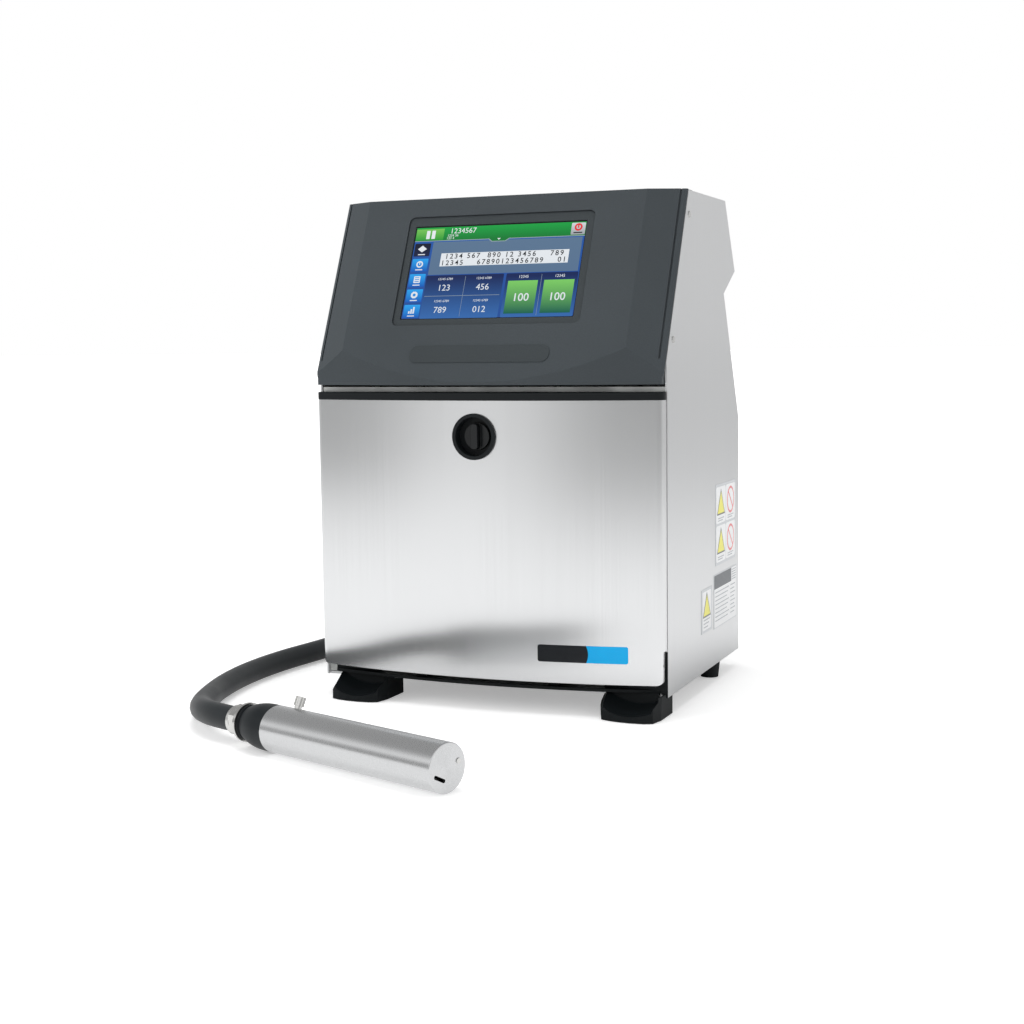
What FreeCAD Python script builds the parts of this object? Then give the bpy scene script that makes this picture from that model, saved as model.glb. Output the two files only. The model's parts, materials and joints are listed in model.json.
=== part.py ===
import FreeCAD
import Part
import math
import os
from FreeCAD import Placement, Rotation, Vector

# A continuous inkjet date coder: a stainless cabinet with a plastic hood and touch screen, a
# drop-down service door, and a cylindrical print head on a flexible hose.
# The origin is on the floor under the middle of the cabinet. +X is right, -Y is the front, +Z is up.
# All lengths are in millimetres and all angles in degrees.

# ---- driving dimensions of the cabinet ----
cabinet_width = 361.0
cabinet_depth = 260.0
sheet = 2.0                     # thickness of the cabinet's steel panels
half_width = cabinet_width / 2
inner_half = half_width - sheet - 0.2
front_y = -cabinet_depth / 2
rear_y = cabinet_depth / 2
foot_height = 18.0
top_z = 493.0
shelf_z = 300.0                 # floor of the electronics bay, roof of the fluid bay

# opening into the fluid bay behind the door
window_half = 162.0
window_bottom = 66.0
window_top = 240.0

# side profile of the cabinet, in (y, z)
panel_front_y = front_y - 2.5
knee = (front_y - 5.0, 331.5)   # where the front edge starts to lean back
lean = 0.4615                   # how far the front edge leans back per unit of height
grip_start = (rear_y - 1.0, 268.0)
grip_inner = (68.0, 398.0)
grip_outer = (112.0, 422.0)
top_rear = (73.0, 492.0)
top_front = (knee[0] + lean * (top_z - knee[1]), top_z)

# ---- hood and screen ----
hood_bottom = 311.5
hood_wall = 3.0
hood_slope = 0.46               # lean of the hood's main face
hood_face_point = (front_y - 34.0, 314.0)
crease_x = 146.0                # the main face ends here and the chamfers begin
chamfer_slope = 0.53            # how fast a chamfer falls back, per unit of width
hood_angle = math.degrees(math.atan(hood_slope))
screen_size = (180.0, 101.0)
screen_z = 421.0
screen_frame = (195.0, 118.0)
frame_lift = 1.5                # the frame's middle stands this far above the screen's
hood_corner = 6.0               # rounding of the hood's side edges

# ---- door ----
door_bottom = 31.0
door_top = 297.0
door_half = 180.0
door_edge_y = front_y - 12.0
bow_half = 180.0
bow_depth = 22.0                # how far the middle of the door bows out of its edges
bow_radius = (bow_half ** 2 + bow_depth ** 2) / (2 * bow_depth)
door_front_y = door_edge_y - bow_depth
door_sheet = 2.0
door_corner = 8.0               # rounding of the door's side edges
door_back_y = panel_front_y - 1.5
door_heel_y = door_back_y - 2.5  # the door is shallower near its hinge, so that it can swing
door_heel_top = 63.0
hinge_y = front_y - 23.0
hinge_z = 40.0
hinge_x = 70.0
pin_radius = 3.0
eye_radius = 4.4                # outside of the hinge brackets' eyes
post_y = hinge_y + 9.0          # front of the brackets' posts, clear of the open door's lower edge
frame_y = front_y - 1.0         # front of the plate that surrounds the fluid bay
latch_z = 263.0
latch_radius = 22.0

# ---- feet ----
foot_shift = 283.0              # from the left front foot to the right one
foot_middle_x = -130.0
foot_waist = 9.0                # height at which the foot starts to narrow
foot_taper = 6.0
# outline of the left front foot in (x, y), with y counted from the cabinet's front
foot_outline = [(-172, 7), (-167, -10), (-158.5, -33), (-150, -36.5), (-141, -38.5), (-128, -39.5),
                (-116, -38.5), (-107.5, -35), (-104, -20), (-103.5, 15), (-172, 15)]
bowl_radius = 54.0
bowl_bottom = 4.8
rear_foot_x = 167.0
trim_bottom = foot_height + 4.0
trim_top = foot_height + 7.0
trim_left_end = -168.5
rear_foot_y = 62.0

# ---- stickers on the right side, as ranges of y and z ----
label_thickness = 0.4
label_places = [(35, 115, 120, 203.5), (29, 119, 55.5, 111.5), (-18.5, 21, 58, 102.5)]

# ---- fluid bay ----
cartridge_front = front_y + 22.0
cartridge_rear = cartridge_front + 130.0
cartridge_places = {"ink_cartridge": -128.0, "makeup_cartridge": -60.0}
cartridge_half = 27.0
cartridge_bottom = 84.0
cartridge_top = 226.0
nose_z = 150.0
core_box = (-18.0, 62.0, -70.0, 50.0, 20.5, 150.0)
pump_x = 112.0
pump_y = -35.0

# ---- rear panel ----
fan_x = 95.0
fan_z = 205.0
inlet_x = 120.0
inlet_z = 75.0
switch_x = 82.0
rocker_y = rear_y - 2.0
rocker_tilt = 14.0
pivot_radius = 1.2              # of the stub on each side of the rocker
port_places = [(-140.0, 120.0), (-115.0, 120.0), (-90.0, 120.0), (-65.0, 120.0)]
port_radius = 7.0

# ---- print head, built along its own axis and then laid on the floor ----
head_radius = 20.65
head_length = 206.0             # steel barrel
barrel_wall = 1.4
head_front = Vector(93.6, -441.9, head_radius)
head_turn = -20.1               # direction in which the head points
head_place = Placement(head_front, Rotation(Vector(0, 0, 1), head_turn))
collar_length = 38.0
collar_end_radius = 15.5
washer_radius = 17.5
washer_length = 3.0
gland_length = 15.0
gland_across_flats = 26.0
thumb_place = 189.0             # distance of the thumb screw behind the head's front
thumb_tilt = 25.0
gland_end = -head_length - collar_length - 0.1 - washer_length - gland_length
deck_start = -head_length + 36.0
along = Vector(1, 0, 0)         # from the hose towards the head's front

# ---- hose sizes ----
hose_radius = 11.25
hose_z = hose_radius + 0.25
coil_radius = 124.0
coil_centre = Vector(-140.0, 305.0, 0)
coil_upper_z = hose_z + 2 * hose_radius + 0.5
coil_stub = 78.0                # straight end of the coil before the loose hose begins
umbilical_x = coil_centre.x + coil_radius
umbilical_z = 38.0

shapes = {}


def box(x0, x1, y0, y1, z0, z1):
    return Part.makeBox(x1 - x0, y1 - y0, z1 - z0, Vector(x0, y0, z0))


def cylinder(base, direction, radius, height):
    return Part.makeCylinder(radius, height, base, direction)


def tube(base, direction, outer, inner, height):
    return cylinder(base, direction, outer, height).cut(cylinder(base, direction, inner, height))


def prism_x(points, x0, x1):
    """Extrudes a (y, z) outline along X."""
    ring = [Vector(x0, y, z) for y, z in points]
    return Part.Face(Part.makePolygon(ring + ring[:1])).extrude(Vector(x1 - x0, 0, 0))


def prism_z(points, z0, z1):
    """Extrudes an (x, y) outline along Z."""
    ring = [Vector(x, y, z0) for x, y in points]
    return Part.Face(Part.makePolygon(ring + ring[:1])).extrude(Vector(0, 0, z1 - z0))


def hexagon(base, direction, across_flats, height):
    """A hexagonal bar that stands on its base and points along the direction."""
    corner = across_flats / math.sqrt(3)
    turns = [i * math.pi / 3 for i in range(7)]
    ring = [Vector(corner * math.cos(turn), corner * math.sin(turn), 0) for turn in turns]
    bar = Part.Face(Part.makePolygon(ring)).extrude(Vector(0, 0, height))
    bar.Placement = Placement(base, Rotation(Vector(0, 0, 1), direction))
    return bar


def round_edges(shape, radius, wanted):
    """Rounds the edges that the test picks out by their middle point and direction."""
    picked = []
    for edge in shape.Edges:
        middle = edge.valueAt((edge.FirstParameter + edge.LastParameter) / 2)
        run = edge.lastVertex().Point - edge.firstVertex().Point
        if run.Length > 0.01 and wanted(middle, run):
            picked.append(edge)
    return shape.makeFillet(radius, picked)


def upright(middle, run):
    return abs(run.x) < 0.01 and abs(run.y) < 0.01


def rounded_box(x0, x1, y0, y1, z0, z1, radius, axis="z"):
    """A box with its four edges along one axis rounded."""
    across = {"x": ("y", "z"), "y": ("x", "z"), "z": ("x", "y")}[axis]
    block = box(x0, x1, y0, y1, z0, z1)
    return round_edges(block, radius, lambda m, run: all(abs(getattr(run, a)) < 0.01 for a in across))


def bow_y(x, inset=0.0):
    """The door's front surface at x, or the same arc moved back by an inset."""
    centre = door_front_y + bow_radius
    return centre - math.sqrt((bow_radius - inset) ** 2 - x ** 2)


def bowed_prism(half, back_y, z0, z1, inset=0.0):
    """A block whose front follows the door's bow."""
    left = Vector(-half, bow_y(half, inset), z0)
    right = Vector(half, bow_y(half, inset), z0)
    arc = Part.Arc(left, Vector(0, bow_y(0, inset), z0), right).toShape()
    back_right = Vector(half, back_y, z0)
    back_left = Vector(-half, back_y, z0)
    sides = [Part.LineSegment(right, back_right), Part.LineSegment(back_right, back_left),
             Part.LineSegment(back_left, left)]
    wire = Part.Wire([arc] + [side.toShape() for side in sides])
    return Part.Face(wire).extrude(Vector(0, 0, z1 - z0))


def on_slope(shape, z=screen_z):
    """Moves a shape built flat in X and Z, with depth along +Y, onto the hood's main face."""
    y = hood_face_point[0] + hood_slope * (z - hood_face_point[1])
    shape.Placement = Placement(Vector(0, y, z), Rotation(Vector(1, 0, 0), -hood_angle))
    return shape


def on_head(shape):
    """Moves a shape built along +X, with the head's front at zero, to where the head lies."""
    shape.Placement = head_place.multiply(shape.Placement)
    return shape


def mirrored(shape):
    return shape.mirror(Vector(0, 0, 0), Vector(1, 0, 0))


def both_sides(shape):
    return Part.makeCompound([shape, mirrored(shape)])


# ---- cabinet ----

def make_side_panel():
    outline = [(panel_front_y, foot_height), (rear_y, foot_height), grip_start, grip_inner, grip_outer,
               top_rear, top_front, knee, (panel_front_y, hood_bottom)]
    return prism_x(outline, half_width - sheet, half_width)


def bent_sheet(points, thickness):
    """A folded sheet between the side panels: the outline and the same outline moved inwards."""
    inner = []
    for i, (y, z) in enumerate(points):
        before = points[max(i - 1, 0)]
        after = points[min(i + 1, len(points) - 1)]
        normals = []
        for (y0, z0), (y1, z1) in ((before, (y, z)), ((y, z), after)):
            length = math.hypot(y1 - y0, z1 - z0)
            if length > 0:
                normals.append(((z0 - z1) / length, (y1 - y0) / length))
        ny = sum(n[0] for n in normals) / len(normals)
        nz = sum(n[1] for n in normals) / len(normals)
        scale = thickness / (ny ** 2 + nz ** 2)
        inner.append((y + ny * scale, z + nz * scale))
    return prism_x(points + inner[::-1], -inner_half, inner_half)


def make_grip_cover():
    bottom = (rear_y - 1.0, grip_start[1] - 6.0)
    top = (top_rear[0] + 0.5, top_rear[1] - 1.0)
    return bent_sheet([bottom, grip_start, grip_inner, grip_outer, top], sheet)


def make_top_cover():
    return box(-inner_half, inner_half, top_front[0] + 22.5, top_rear[0] - 2.5,
               top_z - sheet - 0.5, top_z - 0.5)


def rear_hole(x, z, radius):
    return cylinder(Vector(x, rear_y - 5, z), Vector(0, 1, 0), radius, 10)


def rear_window(x, half, half_height):
    return box(x - half, x + half, rear_y - 5, rear_y + 5, inlet_z - half_height, inlet_z + half_height)


def make_rear_panel():
    panel = box(-inner_half, inner_half, rear_y - sheet, rear_y, foot_height + 3.0, grip_start[1] - 6.5)
    panel = panel.cut(rear_hole(fan_x, fan_z, 37.0))
    panel = panel.cut(rear_window(inlet_x, 14.5, 10.5))
    panel = panel.cut(rear_window(switch_x, 9.7, 13.7))
    panel = panel.cut(rear_hole(umbilical_x, umbilical_z, 14.1))
    for x, z in port_places:
        panel = panel.cut(rear_hole(x, z, port_radius + 0.1))
    return panel


def make_base_pan():
    return box(-inner_half, inner_half, frame_y, rear_y - sheet - 0.2, foot_height, foot_height + 2.5)


def make_mid_shelf():
    return box(-inner_half, inner_half, frame_y + 2.2, 108.0, shelf_z, shelf_z + sheet)


def make_front_frame():
    """The plate round the fluid bay, whose upper slot takes the latch's tongue."""
    plate = box(-inner_half, inner_half, frame_y, frame_y + sheet, foot_height + 3.0, shelf_z + 9.0)
    plate = plate.cut(box(-window_half, window_half, frame_y - 5, frame_y + 5, window_bottom, window_top))
    return plate.cut(rounded_box(-34, 34, frame_y - 5, frame_y + 5, latch_z - 12, latch_z + 14, 3, "y"))


def make_base_trim():
    """Black trim under the door, with a prong that stands up at each end behind the door's corner."""
    back = frame_y - 0.2
    trim = bowed_prism(half_width, back, trim_bottom, trim_top, 10.0)
    corner = box(inner_half, half_width + 5, panel_front_y - 0.1, 0, 0, 100)
    trim = trim.cut(corner).cut(box(-half_width - 5, trim_left_end, -200, 0, 0, 100))
    spine = [(half_width, 61.5), (half_width - 1.6, 61.5), (half_width - 2.6, 44.0)]
    right = [(118.0, 24.0), (half_width - 7.0, 24.0), (half_width - 4.5, foot_height + 0.1),
             (half_width, foot_height + 0.1)] + spine
    right += [(half_width - 9.0, 33.0), (half_width - 16.0, 29.5), (118.0, 29.5)]
    left = [(118.0, 24.0), (-trim_left_end, 24.0), (-trim_left_end, 30.5), (half_width, 33.0)] + spine
    left += [(half_width - 7.0, 36.5), (half_width - 16.0, 33.0), (118.0, 29.5)]
    for side, outline in ((1, right), (-1, left)):
        ring = [Vector(side * x, panel_front_y - 1.4, z) for x, z in outline]
        prong = Part.Face(Part.makePolygon(ring + ring[:1])).extrude(Vector(0, 1.3, 0))
        trim = trim.fuse(prong)
    return trim


def make_front_foot():
    """A pad that narrows upwards, with a bowl scooped out of its toe so that a lip is left in front.

    It reaches up to the trim in front of the cabinet, and is lower under the cabinet's floor."""
    rings = []
    for z, inset in ((0, 0), (foot_waist, 0), (trim_bottom - 0.1, foot_taper)):
        points = []
        for x, y in foot_outline:
            step = inset if x < -150 else 0
            points.append(Vector(x + step, front_y + y + (inset / 2 if y < 0 else 0), z))
        rings.append(Part.makePolygon(points + points[:1]))
    pad = Part.makeLoft(rings[:2], True, True).fuse(Part.makeLoft(rings[1:], True, True))
    bowl = Part.makeSphere(bowl_radius, Vector(foot_middle_x, front_y - 30, bowl_radius + bowl_bottom))
    wall = [(-230.0, 0.0), (-113.0, 0.0), (-105.5, foot_height), (-105.5, 60.0), (-230.0, 60.0)]
    ring = [Vector(x, front_y - 80, z) for x, z in wall]
    inside = Part.Face(Part.makePolygon(ring + ring[:1])).extrude(Vector(0, 76, 0))
    under_cabinet = box(-200, 200, frame_y - 0.2, 200, foot_height, 60)
    beside_prong = box(-111.0, 0, panel_front_y - 1.6, 200, foot_height, 60)
    return pad.cut(bowl.common(inside)).cut(under_cabinet).cut(beside_prong)


def make_rear_foot():
    return Part.makeCone(9.2, 11.0, foot_height, Vector(rear_foot_x, rear_foot_y, 0), Vector(0, 0, 1))


# ---- hood ----

def behind_plane(point, slope_z, slope_x, inset=0.0):
    """A big block behind the plane y = point + slope_z * z + slope_x * |x| on the right-hand side."""
    reach = 600.0
    shift = inset * math.sqrt(1 + slope_z ** 2 + slope_x ** 2)
    corners = []
    for x, z in ((-reach, -reach), (reach, -reach), (reach, reach), (-reach, reach)):
        corners.append(Vector(x, point + shift + slope_z * z + slope_x * x, z))
    return Part.Face(Part.makePolygon(corners + corners[:1])).extrude(Vector(0, 3 * reach, 0))


def hood_block(inset):
    """The hood's outside, or its inside when it is inset by the wall."""
    half = half_width - inset if inset <= 0 else inner_half - 0.2 - inset
    block = bowed_prism(half, front_y + 90, hood_bottom + inset, top_z + 1.0 - inset, inset)
    at_zero = hood_face_point[0] - hood_slope * hood_face_point[1]
    block = block.common(behind_plane(at_zero, hood_slope, 0, inset))
    at_crease = at_zero - chamfer_slope * crease_x
    block = block.common(behind_plane(at_crease, hood_slope, chamfer_slope, inset))
    return block.common(behind_plane(at_crease, hood_slope, -chamfer_slope, inset))


def frame_limits(gap):
    """Half the width of the screen's frame, and its lower and upper edge."""
    width, height = screen_frame
    return width / 2 - gap, frame_lift - height / 2 + gap, frame_lift + height / 2 - gap


def make_hood():
    front_edges = lambda m, run: abs(m.x) > half_width - 0.1 and abs(run.z) > 5 and m.y < front_y + 80
    shell = round_edges(hood_block(0), hood_corner, front_edges).cut(hood_block(hood_wall))
    edge_at_zero = knee[0] - lean * knee[1]
    shell = shell.cut(behind_plane(edge_at_zero + 22.0, lean, 0))
    rim = behind_plane(edge_at_zero - 0.8, lean, 0)
    for side in (-1, 1):
        x0 = inner_half - 0.2 if side > 0 else -half_width - 5
        x1 = half_width + 5 if side > 0 else -inner_half + 0.2
        shell = shell.cut(rim.common(box(x0, x1, -300, 300, 0, 600)))
    groove = hood_block(-3).cut(hood_block(1.6)).common(box(174.0, 175.6, -300, 0, 335, 600))
    shell = shell.cut(groove).cut(mirrored(groove))
    half, low, high = frame_limits(0)
    opening = rounded_box(-half, half, -20, 20, low, high, 6, "y")
    return screw_holes(shell.cut(on_slope(opening)))


def make_hood_side():
    """The wall of the hood that tucks inside the cabinet's side panel, with two screw bosses."""
    edge = [(knee[0] + lean * (z - knee[1]), z) for z in (335.0, 488.0)]
    outline = [(edge[0][0] + 0.5, edge[0][1]), (edge[0][0] + 22.0, edge[0][1]),
               (edge[1][0] + 22.0, edge[1][1]), (edge[1][0] + 0.5, edge[1][1])]
    return both_sides(prism_x(outline, inner_half - 9.0, inner_half - 3.4))


def make_screen_bezel():
    half, low, high = frame_limits(0.3)
    frame = rounded_box(-half, half, 1.2, 3.4, low, high, 5.5, "y")
    half, low, high = frame_limits(-5)
    frame = frame.fuse(box(-half, half, 3.4, 5.4, low, high))
    hole = box(-screen_size[0] / 2, screen_size[0] / 2, 0, 10, -screen_size[1] / 2, screen_size[1] / 2)
    return on_slope(frame.cut(hole))


def make_touch_glass():
    width, height = screen_size
    return on_slope(box(-width / 2 + 0.2, width / 2 - 0.2, 2.4, 4.4, -height / 2 + 0.2, height / 2 - 0.2))


def make_lcd_module():
    """The display panel with its driver board on four posts behind it."""
    width, height = screen_size
    module = box(-width / 2 - 4, width / 2 + 4, 5.5, 13.0, -height / 2 - 4, height / 2 + 4)
    module = module.fuse(box(-80, 80, 16.0, 17.6, -45, 45))
    posts = [cylinder(Vector(x, 12.5, z), Vector(0, 1, 0), 3, 4) for x in (-74, 74) for z in (-39, 39)]
    return on_slope(module.fuse(posts))


def make_nameplate():
    return on_slope(rounded_box(-72, 72, -0.6, 0, -9, 9, 8.0, "y"), 341.0)


def make_hood_screws():
    screws = []
    for z in (352.0, 470.0):
        y = knee[0] + lean * (z - knee[1]) + 11.0
        head = cylinder(Vector(half_width, y, z), Vector(1, 0, 0), 3.2, 1.2)
        shank = cylinder(Vector(half_width - 8.0, y, z), Vector(1, 0, 0), 1.5, 8.0)
        screws.append(head.fuse(shank))
    return Part.makeCompound(screws + [mirrored(screw) for screw in screws])


def screw_holes(shape):
    """Clearance for the hood's screws."""
    for z in (352.0, 470.0):
        y = knee[0] + lean * (z - knee[1]) + 11.0
        start = Vector(-half_width - 5, y, z)
        shape = shape.cut(cylinder(start, Vector(1, 0, 0), 1.5, 2 * half_width + 10))
    return shape


# ---- parts of the door ----

def door_outline(inset, z0, z1):
    """A block with the door's bow in front and rounded corners at both sides."""
    half = door_half - inset
    block = bowed_prism(half, door_back_y, z0, z1, inset)
    return round_edges(block, door_corner - inset, lambda m, run: upright(m, run) and m.y < door_back_y - 1)


def make_door_skin():
    skin = door_outline(0, door_bottom, door_top)
    skin = skin.cut(door_outline(door_sheet, door_bottom + door_sheet, door_top + 10))
    skin = skin.cut(box(-door_half + 3, door_half - 3, door_back_y - 2.4, door_back_y + 5, 0, 400))
    front_view = box(-door_half, door_half, -300, 0, door_bottom, door_top + 20)
    front_view = round_edges(front_view, 8.0, lambda m, run: abs(run.x) + abs(run.z) < 0.01 and m.z < 100)
    skin = skin.common(front_view)
    skin = skin.cut(box(-200, 200, door_heel_y, 0, 0, door_heel_top))
    skin = skin.cut(cylinder(Vector(0, -300, latch_z), Vector(0, 1, 0), latch_radius - 1.4, 300))
    for side in (-1, 1):
        middle = side * hinge_x
        skin = skin.cut(box(middle - 14, middle + 14, -159, -120, 0, door_bottom + door_sheet + 0.1))
        corner = box(door_half - 1.5, door_half + 5, -300, 0, 0, door_heel_top)
        skin = skin.cut(corner if side > 0 else mirrored(corner))
        hole = cylinder(Vector(0, door_heel_y - 2.6, 49.7), Vector(side, 0, 0), 1.6, 200)
        skin = skin.cut(hole)
    return skin


def make_door_top_trim():
    trim = bowed_prism(door_half, door_back_y, door_top + 0.05, door_top + 7.5, -0.8)
    return round_edges(trim, door_corner, lambda m, run: upright(m, run) and m.y < door_back_y - 1)


def make_door_liner():
    """The flat inner face of the door, which closes the bowed skin's back."""
    liner = rounded_box(-173, 173, front_y - 6.5, front_y - 4.5, 52, door_top - 1.0, 6, "y")
    return liner.cut(cylinder(Vector(0, -300, latch_z), Vector(0, 1, 0), 4.2, 300))


def make_door_seal():
    outer = rounded_box(-171, 171, front_y - 4.5, front_y - 1.5, 56, door_top - 3, 8, "y")
    inner = rounded_box(-165, 165, front_y - 10, front_y + 10, 62, door_top - 9, 5, "y")
    return outer.cut(inner)


def make_latch_cup():
    front = door_front_y - 2.5
    cup = cylinder(Vector(0, door_front_y - 0.2, latch_z), Vector(0, 1, 0), latch_radius - 1.6, 14.0)
    rim = cylinder(Vector(0, front, latch_z), Vector(0, 1, 0), latch_radius, 2.3)
    cup = cup.fuse(rim)
    cup = cup.cut(cylinder(Vector(0, front - 1, latch_z), Vector(0, 1, 0), latch_radius - 3.6, 13.0))
    return cup.cut(cylinder(Vector(0, -200, latch_z), Vector(0, 1, 0), 4.15, 100))


def make_latch_knob():
    front = door_front_y - 1.0
    disc = cylinder(Vector(0, front + 7.0, latch_z), Vector(0, 1, 0), 13.0, 3.0)
    bar = rounded_box(-3.6, 3.6, front, front + 8.0, latch_z - 12.0, latch_z + 12.0, 3.0, "y")
    shaft = cylinder(Vector(0, front + 9, latch_z), Vector(0, 1, 0), 4.0, front_y + 1.8 - front - 9)
    return disc.fuse(bar).fuse(shaft)


def make_latch_tongue():
    """The cam behind the front frame: level at rest, and up behind the frame when locked."""
    tongue = rounded_box(-7, 27, front_y + 1.8, front_y + 4.8, latch_z - 6.5, latch_z + 6.5, 3, "y")
    nut = hexagon(Vector(0, front_y + 4.8, latch_z), Vector(0, 1, 0), 10.0, 4.0)
    return tongue.fuse(nut)


def make_door_badge():
    """A blank badge that follows the bow of the door."""
    badge = bowed_prism(170, door_front_y + 60, 40, 80, -0.5)
    badge = badge.cut(bowed_prism(175, door_front_y + 80, 30, 90, 0.0))
    return badge.common(rounded_box(61.0, 147.0, -300, 0, 51.0, 67.3, 2.0, "y"))


def make_hinge_brackets():
    """Two posts on the base trim, each with an arm that reaches forward to the eye of a hinge pin."""
    brackets = []
    for side in (-1, 1):
        x = side * hinge_x
        post = box(x - 5, x + 5, post_y, post_y + 6.0, foot_height + 7.0, hinge_z + eye_radius)
        arm = box(x - 5, x + 5, hinge_y, post_y + 6.0, hinge_z - eye_radius, hinge_z + eye_radius)
        eye = cylinder(Vector(x - 5, hinge_y, hinge_z), Vector(1, 0, 0), eye_radius, 10)
        bore = cylinder(Vector(x - 6, hinge_y, hinge_z), Vector(1, 0, 0), pin_radius, 12)
        brackets.append(post.fuse(arm).fuse(eye).cut(bore))
    return Part.makeCompound(brackets)


def make_hinge_pins():
    return both_sides(cylinder(Vector(hinge_x - 11, hinge_y, hinge_z), Vector(1, 0, 0), pin_radius, 22))


def make_door_lugs():
    """Ears inside the door, one each side of each hinge bracket, that turn on the pins."""
    lugs = []
    for side in (-1, 1):
        for step in (-1, 1):
            x = side * hinge_x + step * 8.5
            plate = box(x - 2.5, x + 2.5, -170, -140, hinge_z - 4.3, hinge_z + 22)
            plate = plate.cut(box(x - 5, x + 5, hinge_y + 4.6, -120, 0, hinge_z + 4.6))
            plate = plate.common(bowed_prism(door_half - 3, front_y - 6.6, 0, 300, door_sheet + 0.02))
            bore = cylinder(Vector(x - 5, hinge_y, hinge_z), Vector(1, 0, 0), pin_radius + 0.05, 10)
            lugs.append(plate.cut(bore))
    return Part.makeCompound(lugs)


# ---- labels ----

def make_side_labels():
    """Three stickers low on the right-hand side: warnings, rating data and one small sign."""
    plates = [box(half_width, half_width + label_thickness, *place) for place in label_places]
    return Part.makeCompound(plates)


# ---- inside the fluid bay ----

def make_cartridge(x):
    """A fluid bottle in its carrier: a nose at the back, and a rib to grip in a recess in front."""
    front = cartridge_front
    body = rounded_box(x - cartridge_half, x + cartridge_half, front, cartridge_rear,
                       cartridge_bottom, cartridge_top, 5, "y")
    grip = rounded_box(x - 18, x + 18, front - 1, front + 14, 130, 180, 4, "y")
    rib = rounded_box(x - 3, x + 3, front, front + 16, 128, 182, 2, "y")
    nose = cylinder(Vector(x, cartridge_rear, nose_z), Vector(0, 1, 0), 9, 12)
    return body.cut(grip).fuse(rib).fuse(nose)


def make_cartridge_dock():
    """An open-fronted cradle: floor, roof, side cheeks and a rear wall with a port for each bottle."""
    x0 = cartridge_places["ink_cartridge"] - cartridge_half - 5
    x1 = cartridge_places["makeup_cartridge"] + cartridge_half + 5
    rear = cartridge_rear
    dock = box(x0, x1, cartridge_front + 10, rear + 20, cartridge_bottom - 6, cartridge_top + 6)
    for x in cartridge_places.values():
        space = box(x - cartridge_half - 1, x + cartridge_half + 1, front_y, rear + 1,
                    cartridge_bottom - 1, cartridge_top + 1)
        dock = dock.cut(space).cut(cylinder(Vector(x, rear, nose_z), Vector(0, 1, 0), 9.3, 30))
    floor = foot_height + 2.5
    legs = [box(x, x + 6, -80, 40, floor, cartridge_bottom - 5) for x in (x0, (x0 + x1) / 2 - 3, x1 - 6)]
    return dock.fuse(legs)


def make_ink_core():
    x0, x1, y0, y1, z0, z1 = core_box
    tank = rounded_box(x0, x1, y0, y1, z0, z1, 8)
    return tank.fuse(rounded_box(x0 + 3, x1 - 3, y0 + 3, y1 - 3, z1, z1 + 8, 6))


def make_core_lid():
    x0, x1, y0, y1, z0, z1 = core_box
    lid = rounded_box(x0 - 2, x1 + 2, y0 - 2, y1 + 2, z1 + 8, z1 + 14, 8)
    for x in (x0 + 12, x1 - 12):
        lid = lid.fuse(cylinder(Vector(x, y0 + 16, z1 + 13), Vector(0, 0, 1), 5, 8))
    return lid


def make_pump():
    head = rounded_box(pump_x - 30, pump_x + 30, pump_y - 25, pump_y + 25, 20.5, 62, 5)
    places = [Vector(pump_x + step * 15, pump_y - 31, 44) for step in (-1, 1)]
    ports = [cylinder(place, Vector(0, 1, 0), 5, 8) for place in places]
    return head.fuse(ports)


def make_pump_motor():
    motor = cylinder(Vector(pump_x, pump_y, 62), Vector(0, 0, 1), 24, 70)
    return motor.fuse(cylinder(Vector(pump_x, pump_y, 132), Vector(0, 0, 1), 8, 5))


def make_filters():
    """The ink filter and the make-up filter, standing side by side."""
    filters = []
    for y in (10.0, 45.0):
        body = cylinder(Vector(150, y, 30), Vector(0, 0, 1), 13, 70)
        for z, radius in ((100, 10), (108, 4)):
            body = body.fuse(cylinder(Vector(150, y, z), Vector(0, 0, 1), radius, 8))
        filters.append(body.fuse(cylinder(Vector(150, y, 20.5), Vector(0, 0, 1), 5, 10)))
    return Part.makeCompound(filters)


def make_valve_block():
    block = box(-12, 58, 62, 92, 20.5, 74)
    for i in range(4):
        block = block.fuse(cylinder(Vector(-3 + 17.5 * i, 77, 74), Vector(0, 0, 1), 7, 22))
    return block


def make_damper():
    can = cylinder(Vector(86, 77, 20.5), Vector(0, 0, 1), 17, 46)
    return can.fuse(cylinder(Vector(86, 77, 66.5), Vector(0, 0, 1), 5, 9))


# ---- electronics bay ----

def make_power_supply():
    case = box(40, 160, -20, 60, shelf_z + 6, shelf_z + 56)
    for i in range(6):
        case = case.cut(box(52 + 17 * i, 60 + 17 * i, -30, 70, shelf_z + 45, shelf_z + 60))
    feet = [box(x, x + 8, y, y + 8, shelf_z + sheet, shelf_z + 6) for x in (44, 148) for y in (-16, 48)]
    return case.fuse(feet)


def make_main_board():
    board = box(-160, 10, -60, 55, shelf_z + 8, shelf_z + 9.6)
    chips = [(-120, -20, 30, 30, 4), (-60, 20, 22, 16, 3), (-30, -40, 18, 18, 8), (-140, 30, 14, 20, 12)]
    for x, y, width, depth, height in chips:
        board = board.fuse(box(x, x + width, y, y + depth, shelf_z + 9.6, shelf_z + 9.6 + height))
    places = [(x, y) for x in (-155, 5) for y in (-55, 50)]
    posts = [cylinder(Vector(x, y, shelf_z + sheet), Vector(0, 0, 1), 3, 6) for x, y in places]
    return board.fuse(posts)


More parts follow.
